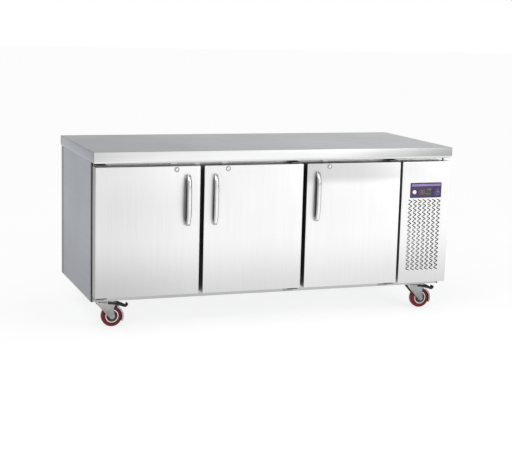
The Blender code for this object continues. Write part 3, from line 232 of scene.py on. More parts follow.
BEZEL = finish("bezel_purple", ((0.034, 0.018, 0.078), (0.058, 0.030, 0.120)), (0.22, 0.34), 0.0,
               (400, 400, 400), 0.1, edge_wear_and_highlight=(0.12, 0.08, 0.22), coat=0.2)
BEZEL_RIM = finish("bezel_rim", ((0.016, 0.010, 0.030), (0.028, 0.018, 0.048)), (0.25, 0.38), 0.0,
                   (400, 400, 400), 0.1)
LILAC_STRIP = finish("lilac_strip", ((0.20, 0.13, 0.37), (0.36, 0.25, 0.58)), (0.22, 0.32), 0.0,
                     (14, 300, 300), 0.05, coat=0.3)
BUTTON = finish("button_lilac", ((0.72, 0.62, 0.96), (0.86, 0.80, 1.0)), (0.18, 0.28), 0.0,
                (300, 300, 300), 0.05, coat=0.5,
                extra=glow((0.80, 0.70, 1.0), 0.12))
# Purple knob; the lilac tone along its edges is a painted highlight.
KNOB = finish("knob_purple", ((0.040, 0.030, 0.130), (0.090, 0.060, 0.220)), (0.15, 0.28), 0.0,
              (300, 300, 300), 0.05, edge_wear_and_highlight=(0.55, 0.45, 0.85), coat=0.6)
KNOB_RING = finish("knob_ring", ((0.52, 0.38, 0.86), (0.66, 0.52, 0.96)), (0.15, 0.25), 0.2,
                   (300, 300, 300), 0.05, coat=0.5)
GLASS = finish("display_glass", (grey(0.016), grey(0.024)), (0.05, 0.10), 0.0, (300, 300, 300), 0.01,
               coat=1.0)
DIGIT = finish("display_digit", ((0.30, 0.12, 0.16), (0.42, 0.18, 0.22)), (0.3, 0.4), 0.0,
               (300, 300, 300), 0.02, extra=glow((0.8, 0.35, 0.4), 0.25))
LAMP_GREEN = finish("display_lamp", ((0.10, 0.30, 0.16), (0.16, 0.42, 0.22)), (0.3, 0.4), 0.0,
                    (300, 300, 300), 0.02, extra=glow((0.3, 0.8, 0.4), 0.2))
# Painted shade: the hinge brackets in dark steel, as they sit in shadow by the doors.
BRACKET = finish("bracket_steel", (grey(0.16), grey(0.24)), (0.35, 0.5), 1.0, (120, 120, 120), 0.1,
                 edge_wear_and_highlight=grey(0.4))
BOARD = finish("stiffening_board", ((0.20, 0.19, 0.18), (0.30, 0.29, 0.27)), (0.7, 0.85), 0.0,
               (30, 300, 300), 0.4, 0.0008)

# ---------------- mesh helpers


def soften(mesh, angle):
    """Smooth shading, kept sharp where faces meet at more than the angle in degrees."""
    mesh.shade_smooth()
    mesh.set_sharp_from_angle(angle=math.radians(angle))


def add(name, bm, material, body, slot, replaced=(), smooth=30.0):
    """Makes a piece from a bmesh, rides it on its body and hides the CAD nodes it replaces."""
    bmesh.ops.recalc_face_normals(bm, faces=bm.faces)
    mesh = bpy.data.meshes.new(name)
    bm.to_mesh(mesh)
    bm.free()
    mesh.materials.append(material)
    piece = bpy.data.objects.new(name, mesh)
    bpy.context.scene.collection.objects.link(piece)
    if smooth:
        soften(mesh, smooth)
    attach(piece, body)
    if replaced:
        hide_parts(*replaced)
    return piece


def new():
    return bmesh.new()


def rounded_box(bm, low, high, radius, segments=2):
    """A box with rounded edges, added to bm."""
    low, high = Vector(low), Vector(high)
    made = bmesh.ops.create_cube(bm, size=1.0, matrix=Matrix.Translation((low + high) / 2)
                                 @ Matrix.Diagonal((*(high - low), 1.0)))
    if radius:
        edges = {edge for vert in made["verts"] for edge in vert.link_edges}
        bmesh.ops.bevel(bm, geom=list(edges), offset=radius, segments=segments, profile=0.5,
                        affect="EDGES")


AXES = {"X": Matrix.Rotation(math.radians(90), 4, "Y"), "Y": Matrix.Rotation(math.radians(-90), 4, "X"),
        "Z": Matrix.Identity(4)}


def turned(bm, profile, centre, facing, segments=40, closed=False, turn=0.0):
    """Turns a profile of (radius, height) points about an axis, added to bm."""
    place = Matrix.Translation(centre) @ AXES[facing]
    rings = []
    for radius, height in profile:
        if radius < 1e-7:
            rings.append([bm.verts.new(place @ Vector((0, 0, height)))])
            continue
        ring = []
        for step in range(segments):
            angle = turn + math.tau * step / segments
            ring.append(bm.verts.new(place @ Vector((radius * math.cos(angle), radius * math.sin(angle),
                                                     height))))
        rings.append(ring)
    pairs = list(zip(rings, rings[1:]))
    if closed:
        pairs.append((rings[-1], rings[0]))
    for upper, lower in pairs:
        for step in range(segments):
            following = (step + 1) % segments
            if len(upper) == 1:
                bm.faces.new((upper[0], lower[step], lower[following]))
            elif len(lower) == 1:
                bm.faces.new((upper[following], upper[step], lower[0]))
            else:
                bm.faces.new((upper[following], upper[step], lower[step], lower[following]))


def rod(bm, radius, start, end, centre, facing, segments=16):
    """A plain round bar between two heights on an axis, added to bm."""
    turned(bm, [(0.0, start), (radius, start), (radius, end), (0.0, end)], centre, facing, segments)


def bridge(bm, rings, closed=False):
    """Joins rings of equally many points into a skin, capped at both ends unless closed is set."""
    count = len(rings[0])
    pairs = list(zip(rings, rings[1:]))
    if closed:
        pairs.append((rings[-1], rings[0]))
    for first, second in pairs:
        for index in range(count):
            following = (index + 1) % count
            bm.faces.new((first[index], first[following], second[following], second[index]))
    if not closed:
        bm.faces.new(rings[0])
        bm.faces.new(rings[-1])


def ring_loft(bm, rect, profile, place, corner=0.003, steps=3, closed=False):
    """Rounded rectangles, one for each (inset, depth) of the profile, joined into a skin.

    place turns (across, up, depth) into a point. Both ends are capped unless closed is set."""
    left, low, right, high = rect
    rings = []
    for inset, depth in profile:
        radius = max(corner - inset, 0.0004)
        ring = []
        for cx, cy, start in ((right, high, 0), (left, high, 90), (left, low, 180), (right, low, 270)):
            out_x = -1 if cx == right else 1
            out_y = -1 if cy == high else 1
            middle = (cx + out_x * (inset + radius), cy + out_y * (inset + radius))
            for step in range(steps + 1):
                angle = math.radians(start + 90 * step / steps)
                ring.append(bm.verts.new(place(middle[0] + radius * math.cos(angle),
                                               middle[1] + radius * math.sin(angle), depth)))
        rings.append(ring)
    bridge(bm, rings, closed)


def fillet(radius, steps=3):
    """A profile's rounded edge, from the face round to the side."""
    return [(radius * (1 - math.sin(math.pi / 2 * step / steps)),
             radius * (1 - math.cos(math.pi / 2 * step / steps))) for step in range(steps + 1)]


def front(depth_at):
    """Places points of a front view, depth measured backwards from a y."""
    return lambda across, up, depth: Vector((across, depth_at + depth, up))


def bent_strip(bm, line, wide, thick, centre_y, bow=0.0, across_steps=4):
    """A strip along a line of (x, z) points, crowned by bow over its width, added to bm."""
    rows = []
    for index, point in enumerate(line):
        before, after = Vector(line[max(index - 1, 0)]), Vector(line[min(index + 1, len(line) - 1)])
        along = (after - before).normalized()
        normal = Vector((-along.y, along.x))
        upper, lower = [], []
        for step in range(across_steps + 1):
            side = 2 * step / across_steps - 1
            crown = bow * (1 - side * side)
            for row, offset in ((upper, thick / 2 + crown), (lower, -thick / 2 + crown)):
                spot = Vector(point) + normal * offset
                row.append(bm.verts.new((spot.x, centre_y + side * wide / 2, spot.y)))
        rows.append(upper + lower[::-1])
    bridge(bm, rows)


def tube(bm, points, radius, sides=8):
    """A round bar along a line of points, added to bm."""
    rings = []
    points = [Vector(point) for point in points]
    normal = None
    for index, point in enumerate(points):
        along = (points[min(index + 1, len(points) - 1)] - points[max(index - 1, 0)]).normalized()
        if normal is None:
            normal = along.orthogonal().normalized()
        normal = (normal - along * normal.dot(along)).normalized()
        other = along.cross(normal)
        rings.append([bm.verts.new(point + (normal * math.cos(math.tau * side / sides)
                                            + other * math.sin(math.tau * side / sides)) * radius)
                      for side in range(sides)])
    bridge(bm, rings)


def smooth_path(points, steps=6):
    """A smooth curve through points, as many points as steps between each two."""
    points = [Vector(point) for point in points]
    ends = [points[0] * 2 - points[1], *points, points[-1] * 2 - points[-2]]
    path = []
    for a, b, c, d in zip(ends, ends[1:], ends[2:], ends[3:]):
        for step in range(steps):
            t = step / steps
            path.append(0.5 * ((2 * b) + (c - a) * t + (2 * a - 5 * b + 4 * c - d) * t * t
                               + (3 * b - a - 3 * c + d) * t ** 3))
    path.append(points[-1])
    return path


def plate_xz(bm, outline, low_y, high_y, bevel=0.0006):
    """A side-view outline of (x, z) points between two depths, with eased edges."""
    near = [bm.verts.new((x, low_y, z)) for x, z in outline]
    far = [bm.verts.new((x, high_y, z)) for x, z in outline]
    faces = [bm.faces.new(near), bm.faces.new(far[::-1])]
    rims = list(faces[0].edges) + list(faces[1].edges)
    for index in range(len(outline)):
        following = (index + 1) % len(outline)
        bm.faces.new((near[following], near[index], far[index], far[following]))
    if bevel:
        bmesh.ops.bevel(bm, geom=rims, offset=bevel, segments=1, profile=0.5, affect="EDGES")


def arc(centre, radius, start, end, steps):
    return [(centre[0] + radius * math.cos(math.radians(start + (end - start) * step / steps)),
             centre[1] + radius * math.sin(math.radians(start + (end - start) * step / steps)))
            for step in range(steps + 1)]


def screw_heads(name, places, facing, radius, proud, material, body, slot):
    """Low domed screw heads with a sunk ring round their middle."""
    bm = new()
    sign = -1 if facing.startswith("-") else 1
    for place in places:
        dome = [(0.0, sign * proud), (radius * 0.25, sign * proud), (radius * 0.3, sign * proud * 0.55),
                (radius * 0.45, sign * proud * 0.55), (radius * 0.5, sign * proud * 0.95),
                (radius * 0.8, sign * proud * 0.7), (radius, 0.0), (0.0, 0.0)]
        turned(bm, dome, place, facing[-1], 14)
    return add(name, bm, material, body, slot)


def node_box(name):
    low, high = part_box(name)
    return Vector(low), Vector(high)


def joint_of(child):
    return next(joint for joint in record["behaviour"]["joints"] if joint["child"] == child)


# ---------------- CAD nodes that stay
KEPT = {
    "left_side_panel": SIDE_STEEL, "right_side_panel": SIDE_STEEL,
    "back_panel": BACK_STEEL, "base_panel": BACK_STEEL, "insulation": FOAM, "inner_liner": LINER_STEEL,
    "front_frame": FRAME_STEEL, "compressor": BLACK_METAL, "condenser": ALUMINIUM,
    "fan_shroud": BLACK_PLASTIC, "condenser_fan": ALUMINIUM, "power_inlet": BLACK_PLASTIC,
    "evaporator_cover": LINER_STEEL, "evaporator_coil": ALUMINIUM, "evaporator_fan": BLACK_PLASTIC,
    **{f"door_core_{i}": LINER_STEEL for i in DOORS},
    **{f"hinge_{end}_{i}": BRACKET for i in DOORS for end in ("top", "bottom")},
}
for name, material in KEPT.items():
    node = nodes[name]
    if not node.material_slots:
        node.data.materials.append(material)
    for slot in node.material_slots:
        slot.material = material


# ---------------- worktop
SHEET = 0.0012
SHEET_BEND = 0.0030
SHEET_CORNER = 0.0035


def make_worktop():
    low, high = node_box("worktop")
    height = high.z - low.z
    lip = 0.010
    profile = [*fillet(0.0028), (0.0, height - lip - SHEET), (0.0008, height - lip),
               (0.0040, height - SHEET), (0.0056, height), (0.0100, height), (0.0100, height - SHEET),
               (0.0062, height - SHEET), (SHEET, height - lip - 0.002), (SHEET, SHEET)]
    bm = new()
    ring_loft(bm, (low.x, low.y, high.x, high.y), profile,
              lambda across, up, depth: Vector((across, up, high.z - depth)), SHEET_CORNER)
    piece = add("worktop_sheet", bm, APRON_STEEL, "cabinet", "worktop", ("worktop",), 25)
    piece.data.materials.append(WORKTOP_STEEL)
    piece.data.materials.append(LIP_STEEL)
    piece.data.materials.append(WORKTOP_END_SHADE)
    # Top, ends and lower lip take darker copies of the sheet's steel: painted shade by face direction.
    for face in piece.data.polygons:
        if face.normal.z > 0.9:
            face.material_index = 1
        elif abs(face.normal.x) > 0.5:
            face.material_index = 3
        elif face.center.z < low.z + lip - 0.0005:
            face.material_index = 2
    low, high = node_box("worktop_core")
    inset = 0.012
    bm = new()
    rounded_box(bm, (low.x + inset, low.y + inset, low.z + inset),
                (high.x - inset, high.y - inset, high.z), 0.002, 1)
    add("worktop_board", bm, BOARD, "cabinet", "worktop_core", ("worktop_core",))


# ---------------- doors
def make_door(number):
    body = f"door_{number}"
    low, high = node_box(f"door_skin_{number}")
    thick = high.y - low.y
    hem = 0.012
    profile = [*fillet(SHEET_BEND), (0.0, thick - 0.001), (0.001, thick), (hem, thick),
               (hem, thick - SHEET), (SHEET, thick - SHEET), (SHEET, SHEET)]
    bm = new()
    ring_loft(bm, (low.x, low.z, high.x, high.z), profile, front(low.y), SHEET_CORNER)
    skin = add(f"door_panel_{number}", bm, DOOR_STEELS[number], body, f"door_skin_{number}",
               (f"door_skin_{number}",), 25)
    cut_bores(skin, number)
    # The skin's side faces take the painted shade.
    skin.data.materials.append(DOOR_SIDE_SHADE)
    for face in skin.data.polygons:
        to_edge = min(abs(face.center.x - low.x), abs(face.center.x - high.x))
        if abs(face.normal.x) > 0.9 and to_edge < SHEET / 2:
            face.material_index = 1

    low, high = node_box(f"gasket_{number}")
    thick = high.y - low.y
    wide = 0.014
    inner_side = [(wide, 0.002), (wide - 0.002, thick * 0.3), (wide, thick * 0.55),
                  (wide - 0.002, thick * 0.78), (wide, thick - 0.0025), (wide - 0.0015, thick)]
    bellows = [(0.0, 0.002), (0.0015, 0.0), (wide - 0.0015, 0.0), *inner_side,
               (0.0015, thick), (0.0, thick - 0.0025), (0.002, thick * 0.78),
               (0.0, thick * 0.55), (0.002, thick * 0.3)]
    bm = new()
    ring_loft(bm, (low.x, low.z, high.x, high.z), bellows, front(low.y), 0.016, 4, True)
    add(f"gasket_bellows_{number}", bm, RUBBER, body, f"gasket_{number}", (f"gasket_{number}",), 35)
    make_handle(number, body)
    make_lock(number)


HINGE_PIN_BORE = 0.0045
LOCK_BORE = 0.0086


def cut_bores(skin, number):
    """The hinge pins' and the lock's holes, taken from the pieces that go through them."""
    bm = new()
    x, y, _ = joint_of(f"door_{number}")["pos_m"]
    for end in ("top", "bottom"):
        low, high = node_box(f"hinge_{end}_{number}")
        middle = low.z if end == "top" else high.z
        rod(bm, HINGE_PIN_BORE, 0.02, -0.02, (x, y, middle), "Z")
    rod(bm, LOCK_BORE, 0.09, -0.02, joint_of(f"lock_{number}")["pos_m"], "Y", 24)
    cut_with(skin, bm)


def cut_with(piece, bm, smooth=0.0):
    """Takes the closed shapes in bm out of a piece for good, and smooths what is left."""
    bmesh.ops.recalc_face_normals(bm, faces=bm.faces)
    mesh = bpy.data.meshes.new("tool")
    bm.to_mesh(mesh)
    bm.free()
    tool = bpy.data.objects.new("tool", mesh)
    bpy.context.scene.collection.objects.link(tool)
    modifier = piece.modifiers.new("cut", "BOOLEAN")
    modifier.operation = "DIFFERENCE"
    modifier.solver = "EXACT"
    modifier.object = tool
    bpy.context.view_layer.update()
    graph = bpy.context.evaluated_depsgraph_get()
    made = bpy.data.meshes.new_from_object(piece.evaluated_get(graph))
    piece.modifiers.clear()
    piece.data = made
    bpy.data.objects.remove(tool, do_unlink=True)
    if smooth:
        soften(made, smooth)


def make_handle(number, body):
    """A black backplate with tapering ends, and a crowned chrome bow standing off it."""
    low, high = node_box(f"handle_{number}")
    centre_x, centre_z = (low.x + high.x) / 2, (low.z + high.z) / 2
    half_width, half = (high.x - low.x) / 2, (high.z - low.z) / 2
    back = high.y
    taper, wide, narrow, tall = half * 0.30, half_width * 0.64, half_width * 0.52, half - 0.0080
    outline = [(centre_x - wide, centre_z - tall + taper), (centre_x - narrow, centre_z - tall),
               (centre_x + narrow, centre_z - tall), (centre_x + wide, centre_z - tall + taper),
               (centre_x + wide, centre_z + tall - taper), (centre_x + narrow, centre_z + tall),
               (centre_x - narrow, centre_z + tall), (centre_x - wide, centre_z + tall - taper)]
    bm = new()
    plate_xz(bm, outline, back - 0.0040, back, 0.0012)
    add(f"handle_backplate_{number}", bm, BLACK_PLASTIC, body, f"handle_{number}")

    proud = back - low.y
    ends, face, crown, lining = 0.0125, 0.0012, 0.0060, 0.0060

    def bow(name, material, under, over, rise, narrow, replaced):
        """A bow from under to over its centre line's reach, crowned by rise."""
        steps, sides = 28, 20
        bm = new()
        rows = []
        for step in range(steps + 1):
            place = 2 * step / steps - 1
            swell = 1 - place ** 4
            reach = ends + (proud - face - crown - ends) * swell
            width = half_width * (0.86 + 0.10 * swell) - narrow
            section = []
            for index in range(sides + 1):
                side = 2 * index / sides - 1
                section.append((side * width, reach + over + rise * (1 - side ** 2)))
            section += [(width, reach + under + 0.0006), (width - 0.0006, reach + under),
                        (-width + 0.0006, reach + under), (-width, reach + under + 0.0006)]
            height = centre_z + place * (half - 0.004)
            rows.append([bm.verts.new((centre_x + across, back - out, height)) for across, out in section])
        bridge(bm, rows)
        piece = add(name, bm, material, body, f"handle_{number}", replaced, 40)
        # The bow's flanks and ends take the chrome's painted shade.
        piece.data.materials.append(HANDLE_SHADE_CHROME)
        for side in piece.data.polygons:
            aside = abs(side.center.x - centre_x) > half_width * 0.46
            ending = abs(side.center.z - centre_z) > half - 0.0120
            if material is CHROME and (aside or ending):
                side.material_index = 1

    bow(f"handle_bow_{number}", CHROME, 0.0, face, crown, 0.0, (f"handle_{number}",))
    bow(f"handle_lining_{number}", BLACK_PLASTIC, -lining, -0.0001, 0.0, 0.0003, ())

    bm = new()
    for sign in (-1, 1):
        middle = centre_z + sign * (half - 0.013)
        rounded_box(bm, (centre_x - half_width * 0.72, back - ends - 0.0045, middle - 0.0085),
                    (centre_x + half_width * 0.72, back - 0.0050, middle + 0.0085), 0.002, 2)
    add(f"handle_posts_{number}", bm, CHROME, body, f"handle_{number}")


def make_lock(number):
    """The polished rim, the key plug with its slot, and the cam behind the door."""
    body = f"lock_{number}"
    low, high = node_box(body)
    x, face, z = joint_of(body)["pos_m"]
    proud = face - low.y
    rim = [(0.0, 0.050), (0.0080, 0.050), (0.0080, -0.0003), (0.0119, -0.0003), (0.0120, -proud * 0.5),
           (0.0112, -proud * 0.92), (0.0100, -proud), (0.0088, -proud * 0.9), (0.0080, -proud * 0.45),
           (0.0072, -proud * 0.40), (0.0070, -proud * 0.75), (0.0064, -proud * 0.88), (0.0, -proud * 0.92)]
    bm = new()
    turned(bm, rim, (x, face, z), "Y", 40)
    head = add(f"lock_cylinder_{number}", bm, CHROME, body, body, (body,), 35)
    bm = new()
    rounded_box(bm, (x - 0.0007, face - 0.006, z - 0.0042), (x + 0.0007, face + 0.001, z + 0.0042), 0)
    cut_with(head, bm, 35)
    head.data.materials.append(ZINC)
    head.data.materials.append(BLACK_METAL)
    for side in head.data.polygons:
        spread = math.hypot(side.center.x - x, side.center.z - z)
        if spread > 0.0098:
            side.material_index = 1
        elif 0.0069 < spread < 0.0090:
            side.material_index = 2
    bm = new()
    thick = 0.0026
    cam = [*arc((x, z), 0.0056, 90, 270, 10), *arc((x + 0.0220, z), 0.0039, 270, 450, 8)]
    plate_xz(bm, cam, high.y - thick, high.y - 0.0003, 0.0004)
    rod(bm, 0.0045, 0.0555, 0.0495, (x, face, z), "Y")
    add(f"lock_cam_{number}", bm, ZINC, body, body)


# ---------------- control panel
SLOT_LENGTHS = (0.0230, 0.0195)
SLOT_WIDTH = 0.0044
SLOT_LEAN = math.radians(27)


def make_control_panel():
    low, high = node_box("control_panel")
    thick = high.y - low.y
    profile = [*fillet(SHEET_BEND), (0.0, thick), (SHEET, thick), (SHEET, SHEET)]
    bm = new()
    ring_loft(bm, (low.x, low.z, high.x, high.z), profile, front(low.y), SHEET_CORNER)
    panel = add("panel_pan", bm, PANEL_STEEL, "cabinet", "control_panel", ("control_panel",), 25)
    centre = (low.x + high.x) / 2
    bezel_low, bezel_high = node_box("controller_bezel")
    columns, rows, pitch_x, pitch_z = 7, 17, 0.0260, 0.0215
    plain, behind_rim = 0.1875, 0.0052
    top = high.z - plain
    for half, lean in ((0, -1), (1, 1)):
        length = SLOT_LENGTHS[half]
        shape = Matrix.Diagonal((length, 0.012, SLOT_WIDTH, 1.0))
        shift = half * (SLOT_LENGTHS[0] - length) / 2 * math.cos(SLOT_LEAN)
        drop = half * sum(SLOT_LENGTHS) / 2 * math.sin(SLOT_LEAN)
        tools = new()
        if half == 0:
            rounded_box(tools, (bezel_low.x + behind_rim, low.y - 0.01, bezel_low.z + behind_rim),
                        (bezel_high.x - behind_rim, low.y + 0.01, bezel_high.z - behind_rim), 0)
        for column in range(columns):
            x = centre + (column - (columns - 1) / 2) * pitch_x - pitch_x * 0.18 + shift
            for row in range(rows - half):
                z = top - pitch_z * (row + 0.25) - drop
                turn = Matrix.Rotation(SLOT_LEAN * -lean, 4, "Y")
                bmesh.ops.create_cube(tools, size=1.0,
                                      matrix=Matrix.Translation((x, low.y, z)) @ turn @ shape)
        cut_with(panel, tools)
    soften(panel.data, 25)


def make_controller():
    low, high = node_box("controller_bezel")
    depth = 0.0025
    rim = 0.0035
    bm = new()
    profile = [(rim + 0.0006, 0.0009), (rim, 0.0004), (rim - 0.0006, 0.0), (0.0012, 0.0), (0.0003, 0.0004),
               (0.0, 0.0012), (0.0, depth - 0.0003), (0.0055, depth - 0.0003), (0.0055, high.y - low.y)]
    ring_loft(bm, (low.x, low.z, high.x, high.z), profile, front(low.y), 0.0035)
    face = add("bezel_frame", bm, BEZEL, "cabinet", "controller_bezel", ("controller_bezel",), 30)

    display_low, display_high = node_box("display_window")
    button_low, button_high = node_box("power_button")
    button = (button_low + button_high) / 2
    knob_low, knob_high = node_box("temperature_knob")
    knob = (knob_low + knob_high) / 2
    button_radius = (button_high.x - button_low.x) / 2
    tools = new()
    rod(tools, button_radius + 0.0006, 0.016, -0.01, (button.x, low.y, button.z), "Y", 32)
    rounded_box(tools, display_low - Vector((0.0003, 0.02, 0.0003)),
                display_high + Vector((0.0003, 0.0005, 0.0003)), 0)
    cut_with(face, tools, 30)
    face.data.materials.append(BEZEL_RIM)
    for side in face.data.polygons:
        across, up = side.center.x, side.center.z
        if min(across - low.x, high.x - across, up - low.z, high.z - up) < rim:
            side.material_index = 1

    bm = new()
    top = high.z - rim - 0.0030
    ring_loft(bm, (low.x + rim + 0.0020, top - 0.0110, high.x - rim - 0.0020, top),
              [(0.0006, 0.0002), (0.0, 0.0004), (0.0, 0.0012)], front(low.y), 0.002)
    add("bezel_strip", bm, LILAC_STRIP, "cabinet", "controller_bezel")

    bm = new()
    inset = 0.0004
    pane = (display_low.x + inset, display_low.z + inset, display_high.x - inset, display_high.z - inset)
    ring_loft(bm, pane, [(0.0008, 0.0), (0.0, 0.0004), (0.0, display_high.y - display_low.y)],
              front(display_low.y), 0.001)
    add("display_pane", bm, GLASS, "cabinet", "display_window", ("display_window",))
    make_digits(display_low, display_high)

    bm = new()
    stem = 0.0080
    profile = [(0.0, stem), (button_radius, stem), (button_radius, -0.0022),
               (button_radius - 0.0008, -0.0034), (button_radius - 0.0022, -0.0040),
               (button_radius * 0.5, -0.0036), (0.0, -0.0034)]
    turned(bm, profile, (button.x, low.y, button.z), "Y", 40)
    add("button_cap", bm, BUTTON, "power_button", "power_button", ("power_button",), 35)

    radius = (knob_high.x - knob_low.x) / 2
    tall = knob_high.y - knob_low.y
    bm = new()
    profile = [(0.0, 0.0), (radius - 0.0006, 0.0), (radius, -0.0008), (radius, -0.0022),
               (radius - 0.0010, -0.0028), (radius * 0.82, -0.0030), (radius * 0.78, -tall * 0.80),
               (radius * 0.70, -tall * 0.97),
               (radius * 0.62, -tall), (radius * 0.30, -tall * 0.90), (0.0, -tall * 0.88)]
    turned(bm, profile, (knob.x, knob_high.y, knob.z), "Y", 48)
    dial = add("knob_dial", bm, KNOB, "temperature_knob", "temperature_knob", ("temperature_knob",), 35)
    grooves = new()
    for step in range(24):
        angle = math.tau * step / 24
        spot = Vector((knob.x + math.cos(angle) * radius * 0.815, knob_high.y - tall * 0.72,
                       knob.z + math.sin(angle) * radius * 0.815))
        rod(grooves, 0.0009, 0.003, -0.004, spot, "Y", 8)
    cut_with(dial, grooves, 35)
    bm = new()
    turn = math.radians(52)
    mark = Matrix.Translation((knob.x, knob_high.y - tall * 0.90, knob.z)) @ Matrix.Rotation(-turn, 4, "Y")
    made = bmesh.ops.create_cube(bm, size=1.0, matrix=mark @ Matrix.Translation((radius * 0.42, 0, 0))
                                 @ Matrix.Diagonal((radius * 0.50, tall * 0.16, 0.0020, 1.0)))
    bmesh.ops.bevel(bm, geom=list({e for v in made["verts"] for e in v.link_edges}), offset=0.0004,
                    segments=2, affect="EDGES")
    add("knob_mark", bm, KNOB_RING, "temperature_knob", "temperature_knob")


def make_digits(low, high):
    """Two figures in bars and a small lamp, behind the window's face."""
    segments = {"a": (0, 1, 0), "g": (0, 0, 0), "d": (0, -1, 0), "f": (-1, 0.5, 1), "b": (1, 0.5, 1),
                "e": (-1, -0.5, 1), "c": (1, -0.5, 1)}
    figures = ("abgcd", "abcdef")
    tall, wide, bar = 0.0085, 0.0042, 0.0014
    middle = (low.z + high.z) / 2 + 0.001
    y = low.y
    bm = new()
    for index, shown in enumerate(figures):
        x = low.x + 0.014 + index * 0.014
        for name in shown:
            across, up, upright = segments[name]
            half = (bar / 2, tall / 2 - bar * 0.7) if upright else (wide - bar * 0.7, bar / 2)
            spot = (x + across * wide, middle + up * tall)
            rounded_box(bm, (spot[0] - half[0], y - 0.00012, spot[1] - half[1]),
                        (spot[0] + half[0], y + 0.0002, spot[1] + half[1]), 0.00005, 1)
    add("display_figures", bm, DIGIT, "cabinet", "display_window")
    bm = new()
    for index in range(3):
        x = high.x - 0.026 + index * 0.009
        turned(bm, [(0.0, 0.0002), (0.0016, 0.0002), (0.0016, -0.0001), (0.0, -0.00015)],
               (x, y, low.z + 0.007), "Y", 16)
    add("display_lamps", bm, LAMP_GREEN, "cabinet", "display_window")


# ---------------- shelves and cold side
def make_shelf(number):
    low, high = node_box(f"wire_shelf_{number}")
    thick, thin = 0.0030, 0.0017
    middle = low.z + thick
    bm = new()
    inset = thick
    left, right, near, far = low.x + inset, high.x - inset, low.y + inset, high.y - inset
    corners = [(left, near, middle), (right, near, middle), (right, far, middle), (left, far, middle)]
    for start, end in zip(corners, corners[1:] + corners[:1]):
        tube(bm, (start, end), thick, 10)
    count = round((right - left) / 0.0155)
    for step in range(1, count):
        x = left + (right - left) * step / count
        tube(bm, ((x, near, high.z - thin), (x, far, high.z - thin)), thin, 6)
    for share in (0.25, 0.5, 0.75):
        y = near + (far - near) * share
        tube(bm, ((left, y, low.z + 0.0022), (right, y, low.z + 0.0022)), 0.0022, 8)
    add(f"shelf_wires_{number}", bm, COATED_WIRE, "cabinet", f"wire_shelf_{number}",
        (f"wire_shelf_{number}",), 50)


def make_machine_details():
    """The copper lines and the cover of the compressor's terminals."""
    low, high = node_box("compressor")
    centre = (low + high) / 2
    condenser_low, condenser_high = node_box("condenser")
    shroud_back = node_box("fan_shroud")[1].y
    bm = new()
    start = Vector((centre.x + 0.030, centre.y - 0.020, high.z - 0.010))
    side = condenser_high.x + 0.006
    tube(bm, smooth_path([start, start + Vector((0.0, 0.0, 0.030)), start + Vector((0.025, -0.020, 0.045)),
                          (side, shroud_back + 0.020, high.z + 0.050),
                          (side, condenser_high.y, high.z + 0.065),
                          (side, condenser_low.y + 0.025, condenser_high.z - 0.030),
                          (condenser_high.x - 0.004, condenser_low.y + 0.025, condenser_high.z - 0.032)]),
         0.0032, 10)
    start = Vector((centre.x - 0.030, centre.y - 0.010, high.z - 0.010))
    wall_x = node_box("insulation")[1].x
    tube(bm, smooth_path([start, start + Vector((0.0, 0.0, 0.050)), start + Vector((-0.030, 0.010, 0.110)),
                          (wall_x + 0.020, centre.y + 0.030, high.z + 0.200),
                          (wall_x + 0.001, centre.y + 0.030, high.z + 0.215)]), 0.0048, 10)
    add("copper_lines", bm, COPPER, "cabinet", "compressor")
    bm = new()
    rounded_box(bm, (high.x - 0.024, centre.y - 0.028, centre.z - 0.020),
                (high.x - 0.006, centre.y + 0.028, centre.z + 0.036), 0.003, 2)
    add("compressor_terminal_cover", bm, BLACK_PLASTIC, "cabinet", "compressor")


def make_screws():
    back_low, back_high = node_box("back_panel")
    y = back_high.y
    places = []
    for step in range(7):
        x = back_low.x + 0.03 + (back_high.x - back_low.x - 0.06) * step / 6
        places += [(x, y - 0.0016, back_low.z + 0.018), (x, y - 0.0016, back_high.z - 0.018)]
    screw_heads("back_screws", places, "Y", 0.0042, 0.0016, ZINC, "cabinet", "back_panel")
    for number in DOORS:
        low, high = node_box(f"hinge_bottom_{number}")
        places = [(x, high.y - 0.0033, low.z + 0.010) for x in (low.x + 0.012, high.x - 0.012)]
        screw_heads(f"hinge_screws_{number}", places, "-Y", 0.0040, 0.0015, ZINC, "cabinet",
                    f"hinge_bottom_{number}")


